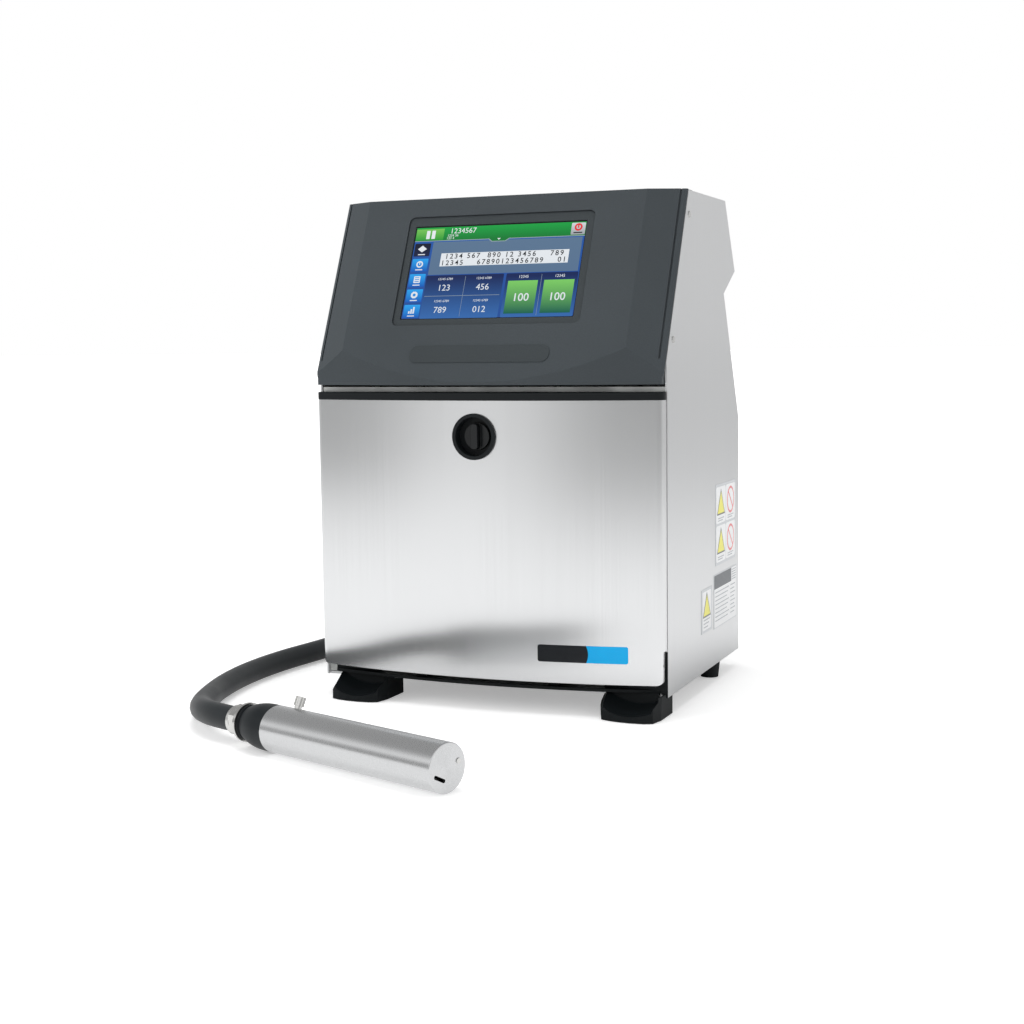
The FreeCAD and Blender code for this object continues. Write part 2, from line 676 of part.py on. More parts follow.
def make_fan_frame():
    y0 = rear_y - sheet - 25.2
    frame = rounded_box(fan_x - 40, fan_x + 40, y0, y0 + 25, fan_z - 40, fan_z + 40, 4, "y")
    frame = frame.cut(cylinder(Vector(fan_x, y0 - 1, fan_z), Vector(0, 1, 0), 37.5, 30))
    for i in range(4):
        spoke = box(fan_x - 2, fan_x + 2, y0, y0 + 3, fan_z, fan_z + 39)
        spoke.rotate(Vector(fan_x, 0, fan_z), Vector(0, 1, 0), 45 + 90 * i)
        frame = frame.fuse(spoke)
    hub = cylinder(Vector(fan_x, y0, fan_z), Vector(0, 1, 0), 15, 5)
    pin = cylinder(Vector(fan_x, y0 + 5, fan_z), Vector(0, 1, 0), 2, 14)
    return frame.fuse(hub).fuse(pin)


def make_fan_rotor():
    y0 = rear_y - sheet - 25.2
    rotor = cylinder(Vector(fan_x, y0 + 6, fan_z), Vector(0, 1, 0), 15, 16)
    for i in range(7):
        blade = box(fan_x - 1.2, fan_x + 1.2, y0 + 7, y0 + 21, fan_z + 10, fan_z + 35.5)
        blade.rotate(Vector(fan_x, y0 + 14, fan_z), Vector(0, 0, 1), 38)
        blade.rotate(Vector(fan_x, 0, fan_z), Vector(0, 1, 0), 360 / 7 * i)
        rotor = rotor.fuse(blade)
    return rotor.cut(cylinder(Vector(fan_x, y0, fan_z), Vector(0, 1, 0), 2.05, 20))


def make_fan_grille():
    """Rings and two crossed bars over the fan's opening."""
    y0 = rear_y
    grille = None
    for radius in (8, 17, 26, 35, 42):
        ring = tube(Vector(fan_x, y0, fan_z), Vector(0, 1, 0), radius, radius - 2.2, 2.2)
        grille = ring if grille is None else grille.fuse(ring)
    for angle in (45, 135):
        bar = box(fan_x - 46, fan_x + 46, y0, y0 + 1.4, fan_z - 1.2, fan_z + 1.2)
        bar.rotate(Vector(fan_x, 0, fan_z), Vector(0, 1, 0), angle)
        grille = grille.fuse(bar)
    return grille


def make_power_entry():
    """One moulding with the mains inlet's three blades and the well of the power switch."""
    x = inlet_x
    y = rear_y
    z = inlet_z
    entry = box(x - 14, x + 14, y - 24, y, z - 10, z + 10)
    entry = entry.fuse(box(switch_x - 9.5, switch_x + 9.5, y - 20, y, z - 13.5, z + 13.5))
    entry = entry.fuse(rounded_box(switch_x - 12, x + 25, y, y + 2.5, z - 16, z + 16, 4, "y"))
    socket = rounded_box(x - 12, x + 12, y - 16, y + 5, z - 8, z + 8, 2, "y")
    well = box(switch_x - 7.5, switch_x + 7.5, y - 12, y + 5, z - 12.2, z + 12.2)
    pivot = cylinder(Vector(switch_x - 10, rocker_y, z), Vector(1, 0, 0), pivot_radius + 0.05, 20)
    entry = entry.cut(socket).cut(well).cut(pivot)
    for dx, dz in ((-7, -2), (7, -2), (0, 2)):
        entry = entry.fuse(box(x + dx - 1, x + dx + 1, y - 17, y - 2, z + dz - 2, z + dz + 2))
    return entry


def make_switch_rocker():
    """Tipped with its upper end out, and tips twice as far the other way to switch over."""
    outline = [(-4.0, -5.0), (5.0, -10.4), (4.0, 0.0), (5.0, 10.4), (-4.0, 5.0)]
    rocker = prism_x([(rocker_y + y, inlet_z + z) for y, z in outline], switch_x - 7.2, switch_x + 7.2)
    pivot_start = Vector(switch_x - 9, rocker_y, inlet_z)
    rocker = rocker.fuse(cylinder(pivot_start, Vector(1, 0, 0), pivot_radius, 18))
    rocker.rotate(Vector(0, rocker_y, inlet_z), Vector(1, 0, 0), -rocker_tilt)
    return rocker


def make_port(x, z):
    """A round panel socket with its locking ring and four contacts."""
    shell = tube(Vector(x, rear_y - 14, z), Vector(0, 1, 0), port_radius, 5.5, 22)
    ring = tube(Vector(x, rear_y, z), Vector(0, 1, 0), port_radius + 3.5, port_radius, 3)
    core = cylinder(Vector(x, rear_y - 14, z), Vector(0, 1, 0), 5.5, 14)
    for dx, dz in ((-2, -2), (2, -2), (-2, 2), (2, 2)):
        core = core.fuse(cylinder(Vector(x + dx, rear_y - 1, z + dz), Vector(0, 1, 0), 0.6, 3.5))
    return shell.fuse(core).fuse(ring)


def make_umbilical_gland():
    base = Vector(umbilical_x, rear_y, umbilical_z)
    rear = Vector(0, 1, 0)
    gland = cylinder(base - rear * 10, rear, 14, 10)
    gland = gland.fuse(hexagon(base, rear, 34.0, 7.0))
    dome = Part.makeCone(16.5, 13.0, 13.0, base + rear * 7, rear)
    return gland.fuse(dome)


# ---- parts of the print head ----

def at(x, y=0.0, z=0.0):
    return Vector(x, y, z)


def make_head_cover():
    """The steel barrel with its front plate, whose slot lets the drops out."""
    cover = tube(at(-head_length), along, head_radius, head_radius - barrel_wall, head_length)
    cover = cover.fuse(cylinder(at(-2.5), along, head_radius - 0.4, 2.5))
    slot = rounded_box(-5, 5, -6.7, 6.7, -1.6, 1.6, 1.5, "x")
    slot.rotate(at(0), along, -27)
    slot.translate(at(0, -8.5, -7.3))
    cover = cover.cut(slot).cut(cylinder(at(-5, 12.6, 3.6), along, 1.5, 10))
    hole = cylinder(at(-thumb_place), thumb_axis(), 2.56, 60)
    cover = cover.cut(hole)
    edges = [e for e in cover.Edges if abs(e.CenterOfMass.x) < 0.01 and e.Length > 100]
    return on_head(cover.makeFillet(0.8, edges))


def thumb_axis():
    tilt = math.radians(thumb_tilt)
    return Vector(0, math.sin(tilt), math.cos(tilt))


def make_front_screw():
    head = cylinder(at(0, 12.6, 3.6), along, 2.4, 0.8)
    return on_head(head.fuse(cylinder(at(-6, 12.6, 3.6), along, 1.5, 6)))


def make_thumb_screw():
    axis = thumb_axis()
    base = at(-thumb_place)
    screw = cylinder(base + axis * 17.6, axis, 2.5, 6)
    neck = cylinder(base + axis * (head_radius + 0.4), axis, 3.2, 2.5)
    knob = cylinder(base + axis * (head_radius + 2.5), axis, 4.4, 8.0)
    on_knob = Placement(base + axis * (head_radius + 2.5), Rotation(Vector(0, 0, 1), axis))
    for i in range(12):
        nick = box(-0.5, 0.5, 4.0, 5.0, 0, 8.0)
        nick.rotate(Vector(0, 0, 0), Vector(0, 0, 1), 30 * i)
        nick.Placement = on_knob.multiply(nick.Placement)
        knob = knob.cut(nick)
    return on_head(screw.fuse(neck).fuse(knob))


def make_head_base():
    """The rubber-like collar behind the barrel, and the spigot that the barrel slides on."""
    start = -head_length - 0.1
    end = -head_length - collar_length
    radius = collar_end_radius
    shoulder = at(start - 9, 0, head_radius - 0.1)
    dome_end = at(end + 5, 0, radius + 0.6)
    front = [at(start), at(start, 0, head_radius - 0.1), shoulder]
    tail = [dome_end, at(end + 4, 0, radius - 0.9), at(end + 2.6, 0, radius - 0.9),
            at(end + 1.6, 0, radius + 0.4), at(end, 0, radius), at(end), at(start)]
    edges = [Part.LineSegment(a, b).toShape() for a, b in zip(front, front[1:])]
    edges.append(Part.Arc(shoulder, at(start - 24, 0, 18.9), dome_end).toShape())
    edges += [Part.LineSegment(a, b).toShape() for a, b in zip(tail, tail[1:])]
    collar = Part.Face(Part.Wire(edges)).revolve(at(0), along, 360)
    spigot = cylinder(at(start), along, head_radius - barrel_wall - 0.1, 36)
    flat = box(start, start + 40, -3.5, 3.5, 16.9, 25)
    flat.rotate(at(0), along, -thumb_tilt)
    return on_head(collar.fuse(spigot).cut(flat))


def make_gland_nut():
    nut = hexagon(at(gland_end + 3.0), along, gland_across_flats, gland_length - 3.0)
    nut = nut.fuse(cylinder(at(gland_end), along, hose_radius + 2.0, 4.0))
    half = gland_across_flats / 2
    keep = Part.makeCone(half + 0.2, half + 4, 4, at(gland_end + 3.0), along)
    keep = keep.fuse(cylinder(at(gland_end + 7.0), along, 40, 20))
    keep = keep.fuse(cylinder(at(gland_end), along, 14.0, 3.0))
    washer = cylinder(at(gland_end + gland_length), along, washer_radius, washer_length)
    return on_head(nut.common(keep).fuse(washer))


def make_head_chassis():
    """The beam that carries the printing parts inside the barrel."""
    beam = box(deck_start - 0.1, -8, -9, 9, -14, -9)
    return on_head(beam.fuse(box(deck_start - 0.1, deck_start + 6, -9, 9, -9, 9)))


def make_print_deck():
    """Along the beam: the nozzle block, charge electrode, two deflector plates and the gutter."""
    nozzle = rounded_box(deck_start + 14, deck_start + 54, -7, 7, -9, 6, 2, "x")
    nozzle = nozzle.fuse(cylinder(at(deck_start + 54, 0, -1), along, 4, 8))
    electrode = box(deck_start + 66, deck_start + 80, -6, 6, -9, 4)
    electrode = electrode.cut(box(deck_start + 60, deck_start + 90, -1.2, 1.2, -4, 10))
    plates = [box(deck_start + 86, deck_start + 122, s * 5 - 1, s * 5 + 1, -9, 7) for s in (-1, 1)]
    gutter = box(deck_start + 128, deck_start + 144, -5, 5, -9, 0)
    gutter = gutter.cut(cylinder(at(deck_start + 132, 0, -3), along, 1.5, 20))
    return on_head(Part.makeCompound([nozzle, electrode, gutter] + plates))


# ---- hose ----

def on_floor(x, y, z=hose_z):
    return Vector(x, y, z)


def head_point(x):
    """A point on the print head's axis."""
    return head_place.multVec(at(x))


gland_point = head_point(gland_end)
coil_left = coil_centre.x - coil_radius

# from the print head's gland, round to the left of the cabinet and back to the coil
coil_end_y = coil_centre.y - coil_stub
front_route = [
    gland_point,
    head_point(gland_end - 24.0),
    on_floor(-197.3, -330.2, 19.9),
    on_floor(-217.2, -312.0, 17.9),
    on_floor(-235.0, -287.4, 15.0),
    on_floor(-249.6, -257.3, 12.4),
    on_floor(-264.3, -215.9),
    on_floor(-274.7, -165.0),
    on_floor(-279.1, -109.1),
    on_floor(-275.4, -49.2),
    on_floor(-266.5, 10.1),
    on_floor(-262.0, 74.0),
    on_floor(coil_left, coil_end_y - 72.0),
    on_floor(coil_left, coil_end_y),
]

# from the top of the coil to the gland in the rear panel
umbilical_end = Vector(umbilical_x, rear_y + 20.0, umbilical_z)
rear_route = [
    Vector(umbilical_x, coil_end_y, coil_upper_z),
    Vector(umbilical_x, coil_end_y - 25.0, coil_upper_z),
    Vector(umbilical_x, umbilical_end.y + 25.0, umbilical_z),
    umbilical_end,
]


def hose_along(route, name):
    """A tube of straight runs joined by tangent arcs as large as the runs allow."""
    edges = []
    start = route[0]
    length = 0.0
    radii = []
    for before, corner, after in zip(route, route[1:], route[2:]):
        into = (corner - before).normalize()
        out = (after - corner).normalize()
        half_turn = into.getAngle(out) / 2
        reach = 0.45 * min((corner - before).Length, (after - corner).Length)
        radius = reach / math.tan(half_turn)
        radii.append(round(radius, 1))
        first = corner - into * reach
        last = corner + out * reach
        inward = (out - into).normalize()
        middle = corner + inward * (radius / math.cos(half_turn) - radius)
        edges.append(Part.LineSegment(start, first).toShape())
        arc = Part.Arc(first, middle, last).toShape()
        edges.append(arc)
        length += (first - start).Length + arc.Length
        start = last
    edges.append(Part.LineSegment(start, route[-1]).toShape())
    length += (route[-1] - start).Length
    path = Part.Wire(edges)
    section = Part.Wire(Part.makeCircle(hose_radius, route[0], (route[1] - route[0]).normalize()))
    solid = path.makePipeShell([section], True, False)
    ratio = solid.Volume / (math.pi * hose_radius ** 2 * length)
    print(name, "radii", radii, "length", round(length, 1), "volume ratio", round(ratio, 4))
    return solid


def make_hose_coil():
    """The stored turns, as one ring with the straight ends of the first and last turn."""
    width = hose_radius + 0.75
    top = coil_upper_z + hose_radius
    outline = [Vector(coil_radius - width, 0, 3), Vector(coil_radius - width + 3, 0, 0),
               Vector(coil_radius + width - 3, 0, 0), Vector(coil_radius + width, 0, 3),
               Vector(coil_radius + width, 0, top - 3), Vector(coil_radius + width - 3, 0, top),
               Vector(coil_radius - width + 3, 0, top), Vector(coil_radius - width, 0, top - 3)]
    ring = Part.Face(Part.makePolygon(outline + outline[:1])).revolve(Vector(0, 0, 0), Vector(0, 0, 1), 360)
    ring.translate(coil_centre)
    for x, z in ((coil_left, hose_z), (umbilical_x, coil_upper_z)):
        stub = cylinder(Vector(x, coil_centre.y - coil_stub, z), Vector(0, 1, 0), hose_radius, coil_stub)
        ring = ring.fuse(stub)
    turn = 2 * math.pi * coil_radius
    print("hose coil", "one and a half turns", round(1.5 * turn + 2 * coil_stub, 1))
    return ring


# ---- the list of nodes ----

def build():
    shapes["side_panel_right"] = screw_holes(make_side_panel())
    shapes["side_panel_left"] = mirrored(shapes["side_panel_right"])
    shapes["rear_panel"] = make_rear_panel()
    shapes["grip_cover"] = make_grip_cover()
    shapes["top_cover"] = make_top_cover()
    shapes["base_pan"] = make_base_pan()
    shapes["mid_shelf"] = make_mid_shelf()
    shapes["front_frame"] = make_front_frame()
    shapes["base_trim"] = make_base_trim()
    left_foot = make_front_foot()
    right_foot = left_foot.copy()
    right_foot.translate(Vector(foot_shift, 0, 0))
    shapes["front_foot_left"] = left_foot
    shapes["front_foot_right"] = right_foot
    shapes["rear_feet"] = both_sides(make_rear_foot())
    shapes["hood"] = make_hood()
    shapes["hood_brackets"] = screw_holes(make_hood_side())
    shapes["hood_screws"] = make_hood_screws()
    shapes["screen_bezel"] = make_screen_bezel()
    shapes["touch_glass"] = make_touch_glass()
    shapes["lcd_module"] = make_lcd_module()
    shapes["nameplate"] = make_nameplate()
    shapes["door_skin"] = make_door_skin()
    shapes["door_top_trim"] = make_door_top_trim()
    shapes["door_liner"] = make_door_liner()
    shapes["door_seal"] = make_door_seal()
    shapes["door_lugs"] = make_door_lugs()
    shapes["door_badge"] = make_door_badge()
    shapes["hinge_brackets"] = make_hinge_brackets()
    shapes["hinge_pins"] = make_hinge_pins()
    shapes["latch_cup"] = make_latch_cup()
    shapes["latch_knob"] = make_latch_knob()
    shapes["latch_tongue"] = make_latch_tongue()
    shapes["side_labels"] = make_side_labels()
    for name, x in cartridge_places.items():
        shapes[name] = make_cartridge(x)
    shapes["cartridge_dock"] = make_cartridge_dock()
    shapes["ink_core"] = make_ink_core()
    shapes["ink_core_lid"] = make_core_lid()
    shapes["pump"] = make_pump()
    shapes["pump_motor"] = make_pump_motor()
    shapes["filters"] = make_filters()
    shapes["valve_block"] = make_valve_block()
    shapes["damper"] = make_damper()
    shapes["power_supply"] = make_power_supply()
    shapes["main_board"] = make_main_board()
    shapes["fan_frame"] = make_fan_frame()
    shapes["fan_rotor"] = make_fan_rotor()
    shapes["fan_grille"] = make_fan_grille()
    shapes["power_entry"] = make_power_entry()
    shapes["switch_rocker"] = make_switch_rocker()
    shapes["sensor_ports"] = Part.makeCompound([make_port(x, z) for x, z in port_places])
    shapes["umbilical_gland"] = make_umbilical_gland()
    shapes["head_cover"] = make_head_cover()
    shapes["front_screw"] = make_front_screw()
    shapes["thumb_screw"] = make_thumb_screw()
    shapes["head_base"] = make_head_base()
    shapes["gland_nut"] = make_gland_nut()
    shapes["head_chassis"] = make_head_chassis()
    shapes["print_deck"] = make_print_deck()
    shapes["hose"] = hose_along(front_route, "hose")
    shapes["hose_coil"] = make_hose_coil()
    shapes["hose_tail"] = hose_along(rear_route, "hose_tail")


build()
os.makedirs("parts", exist_ok=True)
for name, shape in shapes.items():
    shape.exportStep(os.path.join("parts", name + ".step"))
    volume = round(shape.Volume / 1000, 2)
    print(name, "solids", len(shape.Solids), "valid", shape.isValid(), "volume", volume)
print(len(shapes), "nodes")
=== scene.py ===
import json
import math

import bmesh
import bpy
from mathutils import Matrix, Vector

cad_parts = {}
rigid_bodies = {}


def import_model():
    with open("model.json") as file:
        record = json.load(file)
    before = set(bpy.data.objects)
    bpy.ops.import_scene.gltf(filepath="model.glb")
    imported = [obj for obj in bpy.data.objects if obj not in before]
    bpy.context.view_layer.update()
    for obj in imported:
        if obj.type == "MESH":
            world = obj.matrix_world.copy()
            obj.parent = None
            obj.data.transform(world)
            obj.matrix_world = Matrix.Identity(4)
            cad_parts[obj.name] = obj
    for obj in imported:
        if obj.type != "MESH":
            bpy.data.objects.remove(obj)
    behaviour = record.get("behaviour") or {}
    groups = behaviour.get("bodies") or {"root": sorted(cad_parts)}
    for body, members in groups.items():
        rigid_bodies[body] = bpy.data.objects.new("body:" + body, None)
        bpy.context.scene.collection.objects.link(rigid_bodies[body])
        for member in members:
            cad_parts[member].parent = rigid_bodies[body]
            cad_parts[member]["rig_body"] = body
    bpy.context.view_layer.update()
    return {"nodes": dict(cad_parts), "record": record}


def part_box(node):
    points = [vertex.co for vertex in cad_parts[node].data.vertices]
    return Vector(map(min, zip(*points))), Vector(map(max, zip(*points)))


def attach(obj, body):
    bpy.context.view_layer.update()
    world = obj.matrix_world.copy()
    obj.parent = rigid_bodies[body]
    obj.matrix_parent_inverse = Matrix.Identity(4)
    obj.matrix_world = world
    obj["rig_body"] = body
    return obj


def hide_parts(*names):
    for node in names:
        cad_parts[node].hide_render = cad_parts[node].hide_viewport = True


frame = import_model()
scene = bpy.context.scene
scene.view_settings.view_transform = "Standard"

# Sizes are in metres, in the frame's axes: +X to the right, -Y to the front, +Z up.
CAMERA_PLACE = (0.6200, -1.5888, 0.3547)
CAMERA_TURN = 22.23              # degrees to the left, from looking straight to the rear
CAMERA_RISE = -6.014             # degrees: it looks down a little
CAMERA_ROLL = 0.735              # degrees
FOCAL_LENGTH = 57.82             # in millimetres, on a sensor that is 36 mm wide
HOSE_DIAMETER = 0.0225
FLOOR_HOSE = 0.0115              # height of the hose's middle where it lies on the floor
COIL_MIDDLE = (-0.140, 0.305)
COIL_RADIUS = 0.124
COIL_STEP = 0.0230               # from one turn's middle to the next one's, upwards
COIL_TURNS = 1.5
HOOD_LEAN = math.atan(0.46)      # how far the hood's face leans back from upright
HEAD_TURN = math.radians(-20.1)  # the print head's direction in the floor plane, from +X
HEAD_FRONT = (0.0936, -0.4419)   # the barrel's front end in the floor plane
BADGE_JOINT = 0.567              # share of the badge's width that is dark
FLAT = 0.4                       # degrees between two facets up to which they are one face
CREASE = 28.0                    # degrees between two faces from which their edge is sharp
HOOD_CREASE = 9.0
WELD = 0.000002                  # corners that are closer than this are one
FILM = 0.00006                   # thickness of one printed or lit layer
FLOOR_REACH = 40.0               # from the middle of the floor to its edge
FLOOR_HEIGHT = -0.0005           # just under the object, so that no two faces lie in one plane
PATCH = (-0.375, -0.927, 0.0)    # the way to the bright patch that the door mirrors


# ---- camera ----

def make_camera():
    """From the front, a little to the right, at about two thirds of the cabinet's height."""
    lens = bpy.data.cameras.new("camera")
    lens.lens = FOCAL_LENGTH
    lens.sensor_width = 36.0
    lens.clip_start = 0.05
    lens.clip_end = 100.0
    camera = bpy.data.objects.new("camera", lens)
    yaw = Matrix.Rotation(math.radians(CAMERA_TURN), 4, "Z")
    pitch = Matrix.Rotation(math.radians(CAMERA_RISE), 4, "X")
    roll = Matrix.Rotation(math.radians(CAMERA_ROLL), 4, "Y")
    level = Matrix.Rotation(math.radians(90.0), 4, "X")
    camera.matrix_world = Matrix.Translation(CAMERA_PLACE) @ yaw @ pitch @ roll @ level
    scene.collection.objects.link(camera)
    scene.camera = camera


# ---- hose ----

def hose_route():
    """The hose's control points: from the print head's gland along the floor, round the coil, and to
    the gland in the rear panel."""
    route = [
        (-0.1525, -0.3518, 0.02065),
        (-0.1750, -0.3436, 0.02065),
        (-0.1952, -0.3316, 0.0197),
        (-0.2130, -0.3145, 0.0176),
        (-0.2292, -0.2906, 0.0148),
        (-0.2444, -0.2590, 0.0124),
        (-0.2602, -0.2168, 0.0115),
        (-0.2720, -0.1650, 0.0115),
        (-0.2775, -0.1091, 0.0115),
        (-0.2754, -0.0492, 0.0115),
        (-0.2665, 0.0101, 0.0115),
        (-0.2620, 0.0740, 0.0115),
        (-0.2640, 0.1550, 0.0115),
        (-0.2640, 0.2270, 0.0115),
    ]
    steps_per_turn = 20
    # Past half a turn the hose climbs on to the part that lies on the floor.
    climb_start = math.radians(190)
    climb_length = math.radians(150)
    for step in range(round(COIL_TURNS * steps_per_turn) + 1):
        turned = 2 * math.pi * step / steps_per_turn
        climbed = min(max((turned - climb_start) / climb_length, 0.0), 1.0)
        height = FLOOR_HOSE + COIL_STEP * climbed * climbed * (3 - 2 * climbed)
        across = COIL_MIDDLE[0] - COIL_RADIUS * math.cos(turned)
        along = COIL_MIDDLE[1] + COIL_RADIUS * math.sin(turned)
        route.append((across, along, height))
    route += [
        (-0.0160, 0.2270, 0.0345),
        (-0.0160, 0.2020, 0.0345),
        (-0.0160, 0.1750, 0.0380),
        (-0.0160, 0.1500, 0.0380),
    ]
    return route


def make_hose():
    """One smooth tube along the route. A curve's box grows by its points' radius, so the hose's radius
    stands there, and the bevel is 1."""
    curve = bpy.data.curves.new("umbilical_hose", "CURVE")
    curve.dimensions = "3D"
    curve.bevel_depth = 1.0
    curve.bevel_resolution = 6
    curve.resolution_u = 10
    spline = curve.splines.new("NURBS")
    route = hose_route()
    spline.points.add(len(route) - 1)
    for point, place in zip(spline.points, route):
        point.co = (*place, 1.0)
        point.radius = HOSE_DIAMETER / 2
    spline.order_u = 3
    spline.use_endpoint_u = True
    hose = bpy.data.objects.new("umbilical_hose", curve)
    scene.collection.objects.link(hose)
    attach(hose, "root")
    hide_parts("hose", "hose_coil", "hose_tail")
    return hose


# ---- shader helpers ----

def tone(red, green, blue):
    """A colour from its display values, 0 to 255, as the linear values that shaders take."""
    linear = []
    for value in (red, green, blue):
        part = value / 255
        linear.append(part / 12.92 if part <= 0.04045 else ((part + 0.055) / 1.055) ** 2.4)
    return (*linear, 1.0)


def scaled(colour, factor):
    """A lighter or darker colour of the same hue."""
    return (colour[0] * factor, colour[1] * factor, colour[2] * factor, 1.0)


def settle(tree, node, inputs):
    """Sets or links a node's inputs."""
    for key, value in inputs.items():
        if isinstance(value, bpy.types.NodeSocket):
            tree.links.new(value, node.inputs[key])
        else:
            node.inputs[key].default_value = value


def add(tree, kind, inputs, **settings):
    """A new shader node with its settings and its inputs."""
    node = tree.nodes.new("ShaderNode" + kind)
    for key, value in settings.items():
        setattr(node, key, value)
    settle(tree, node, inputs)
    return node


def new_material(name):
    """A material with its node tree and its main shader."""
    material = bpy.data.materials.new(name)
    material.use_nodes = True
    tree = material.node_tree
    return material, tree, tree.nodes["Principled BSDF"]


def own_place(tree):
    """The object's own coordinates."""
    return add(tree, "TexCoord", {}).outputs["Object"]


def surface_place(tree, stretch=(1.0, 1.0, 1.0)):
    """The object's own coordinates, stretched per axis."""
    return add(tree, "Mapping", {"Vector": own_place(tree), "Scale": stretch}).outputs["Vector"]


def noise(tree, place, scale, detail=2.0):
    """Soft random grains, of which about this many fit in a metre."""
    return add(tree, "TexNoise", {"Vector": place, "Scale": scale, "Detail": detail}).outputs["Fac"]


def spread(tree, value, low, high):
    """Turns the middle of a noise into low to high."""
    inputs = {"Value": value, "From Min": 0.3, "From Max": 0.7, "To Min": low, "To Max": high}
    return add(tree, "MapRange", inputs).outputs["Result"]


def mixed(tree, factor, first, second):
    """The first colour where the factor is 0, and the second one where it is 1."""
    inputs = {"Fac": factor, "Color1": first, "Color2": second}
    return add(tree, "MixRGB", inputs).outputs["Color"]


def ramp(tree, value, start, end, low, high):
    """Runs softly from low to high while the value runs from start to end."""
    inputs = {"Value": value, "From Min": start, "From Max": end, "To Min": low, "To Max": high}
    return add(tree, "MapRange", inputs, interpolation_type="SMOOTHSTEP").outputs["Result"]


def raised(tree, height, strength, distance):
    """The slope of a surface that this height roughens."""
    inputs = {"Height": height, "Strength": strength, "Distance": distance}
    return add(tree, "Bump", inputs).outputs["Normal"]


def vector_math(tree, operation, first, second):
    """A sum, difference or product of two vectors."""
    return add(tree, "VectorMath", {0: first, 1: second}, operation=operation).outputs["Vector"]


def unit(tree, vector):
    """A vector's direction."""
    return add(tree, "VectorMath", {0: vector}, operation="NORMALIZE").outputs["Vector"]


def length(tree, vector):
    """How long a vector is."""
    return add(tree, "VectorMath", {0: vector}, operation="LENGTH").outputs["Value"]


def turned_about_z(tree, vector, angle):
    """A vector turned by an angle in the floor plane."""
    inputs = {"Vector": vector, "Angle": angle}
    return add(tree, "VectorRotate", inputs, rotation_type="Z_AXIS").outputs["Vector"]


# ---- materials ----

def moulded(name, colour, roughness, grain, depth, coat=0.0, shine=0.3):
    """Moulded plastic: a fine pebble grain of the given size, and a slow drift of colour and gloss."""
    material, tree, shader = new_material(name)
    place = surface_place(tree)
    pebbles = noise(tree, place, 1.0 / grain, 3.0)
    drift = noise(tree, place, 9.0)
    base = mixed(tree, spread(tree, drift, 0.0, 1.0), scaled(colour, 0.92), scaled(colour, 1.08))
    speckled = mixed(tree, spread(tree, pebbles, 0.0, 0.5), base, scaled(colour, 0.8))
    settle(tree, shader, {
        "Base Color": speckled,
        "Roughness": spread(tree, drift, roughness - 0.04, roughness + 0.06),
        "Specular IOR Level": shine,
        "Coat Weight": coat,
        "Coat Roughness": 0.08,
        "Normal": raised(tree, pebbles, 0.5, depth),
    })
    return material


def brushed(name, colour, fineness, roughness, metallic, contrast):
    """Steel brushed upwards: fine upright scratches, and a sheen that is blurred sideways.

    The direction across the brushing is level and lies in the face. A face that looks up has none,
    so a little of +X is added."""
    material, tree, shader = new_material(name)
    scratches = noise(tree, surface_place(tree, (fineness, fineness, 3.0)), 1.0, 4.0)
    drift = noise(tree, surface_place(tree), 3.0)
    worn = mixed(tree, spread(tree, drift, 0.0, 1.0), scaled(colour, 0.985), scaled(colour, 1.015))
    streaked = mixed(tree, spread(tree, scratches, 0.0, 1.0), scaled(colour, 1.0 - contrast), worn)
    facing = add(tree, "TexCoord", {}).outputs["Normal"]
    level = vector_math(tree, "CROSS_PRODUCT", (0.0, 0.0, 1.0), facing)
    across = vector_math(tree, "ADD", level, (0.1, 0.0, 0.0))
    settle(tree, shader, {
        "Base Color": streaked,
        "Metallic": metallic,
        "Roughness": spread(tree, scratches, roughness - 0.01, roughness + 0.02),
        "Anisotropic": 0.9,
        "Tangent": across,
        "Normal": raised(tree, scratches, 0.01, 0.00001),
    })
    return material


def machined(name, colour, roughness):
    """Plain machined or plated metal with faint tool marks and handling dulling."""
    material, tree, shader = new_material(name)
    place = surface_place(tree)
    marks = noise(tree, place, 900.0, 3.0)
    dulled = noise(tree, place, 60.0, 3.0)
    base = mixed(tree, spread(tree, dulled, 0.0, 1.0), scaled(colour, 0.88), colour)
    settle(tree, shader, {
        "Base Color": base,
        "Metallic": 1.0,
        "Roughness": spread(tree, dulled, roughness - 0.05, roughness + 0.10),
        "Normal": raised(tree, marks, 0.10, 0.00003),
    })
    return material


def turned_steel(name):
    """The print head's barrel: lathe lines round it, and rings on its front plate.

    Its sheen is blurred across the lines: lengthwise on the barrel, and outwards on the plate."""
    material, tree, shader = new_material(name)
    coordinates = own_place(tree)
    low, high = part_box("head_cover")
    start = Vector((*HEAD_FRONT, (low.z + high.z) / 2))
    moved = vector_math(tree, "SUBTRACT", coordinates, start)
    parts = add(tree, "SeparateXYZ", {"Vector": turned_about_z(tree, moved, -HEAD_TURN)})
    side = add(tree, "CombineXYZ", {"Y": parts.outputs["Y"], "Z": parts.outputs["Z"]}).outputs["Vector"]
    off_axis = length(tree, side)
    rings = add(tree, "CombineXYZ", {"X": off_axis, "Y": parts.outputs["X"]}).outputs["Vector"]
    lines = noise(tree, rings, 2600.0, 3.0)
    satin = noise(tree, coordinates, 1400.0, 3.0)
    lengthwise = vector_math(tree, "ADD", unit(tree, side), (1.0, 0.0, 0.0))
    colour = tone(212, 213, 214)
    streaked = mixed(tree, spread(tree, lines, 0.0, 1.0), scaled(colour, 0.92), colour)
    settle(tree, shader, {
        "Base Color": mixed(tree, spread(tree, satin, 0.0, 0.6), streaked, scaled(colour, 0.88)),
        "Metallic": 1.0,
        "Roughness": spread(tree, satin, 0.26, 0.32),
        "Anisotropic": 0.75,
        "Tangent": turned_about_z(tree, lengthwise, HEAD_TURN),
        "Normal": raised(tree, satin, 0.08, 0.00002),
    })
    return material


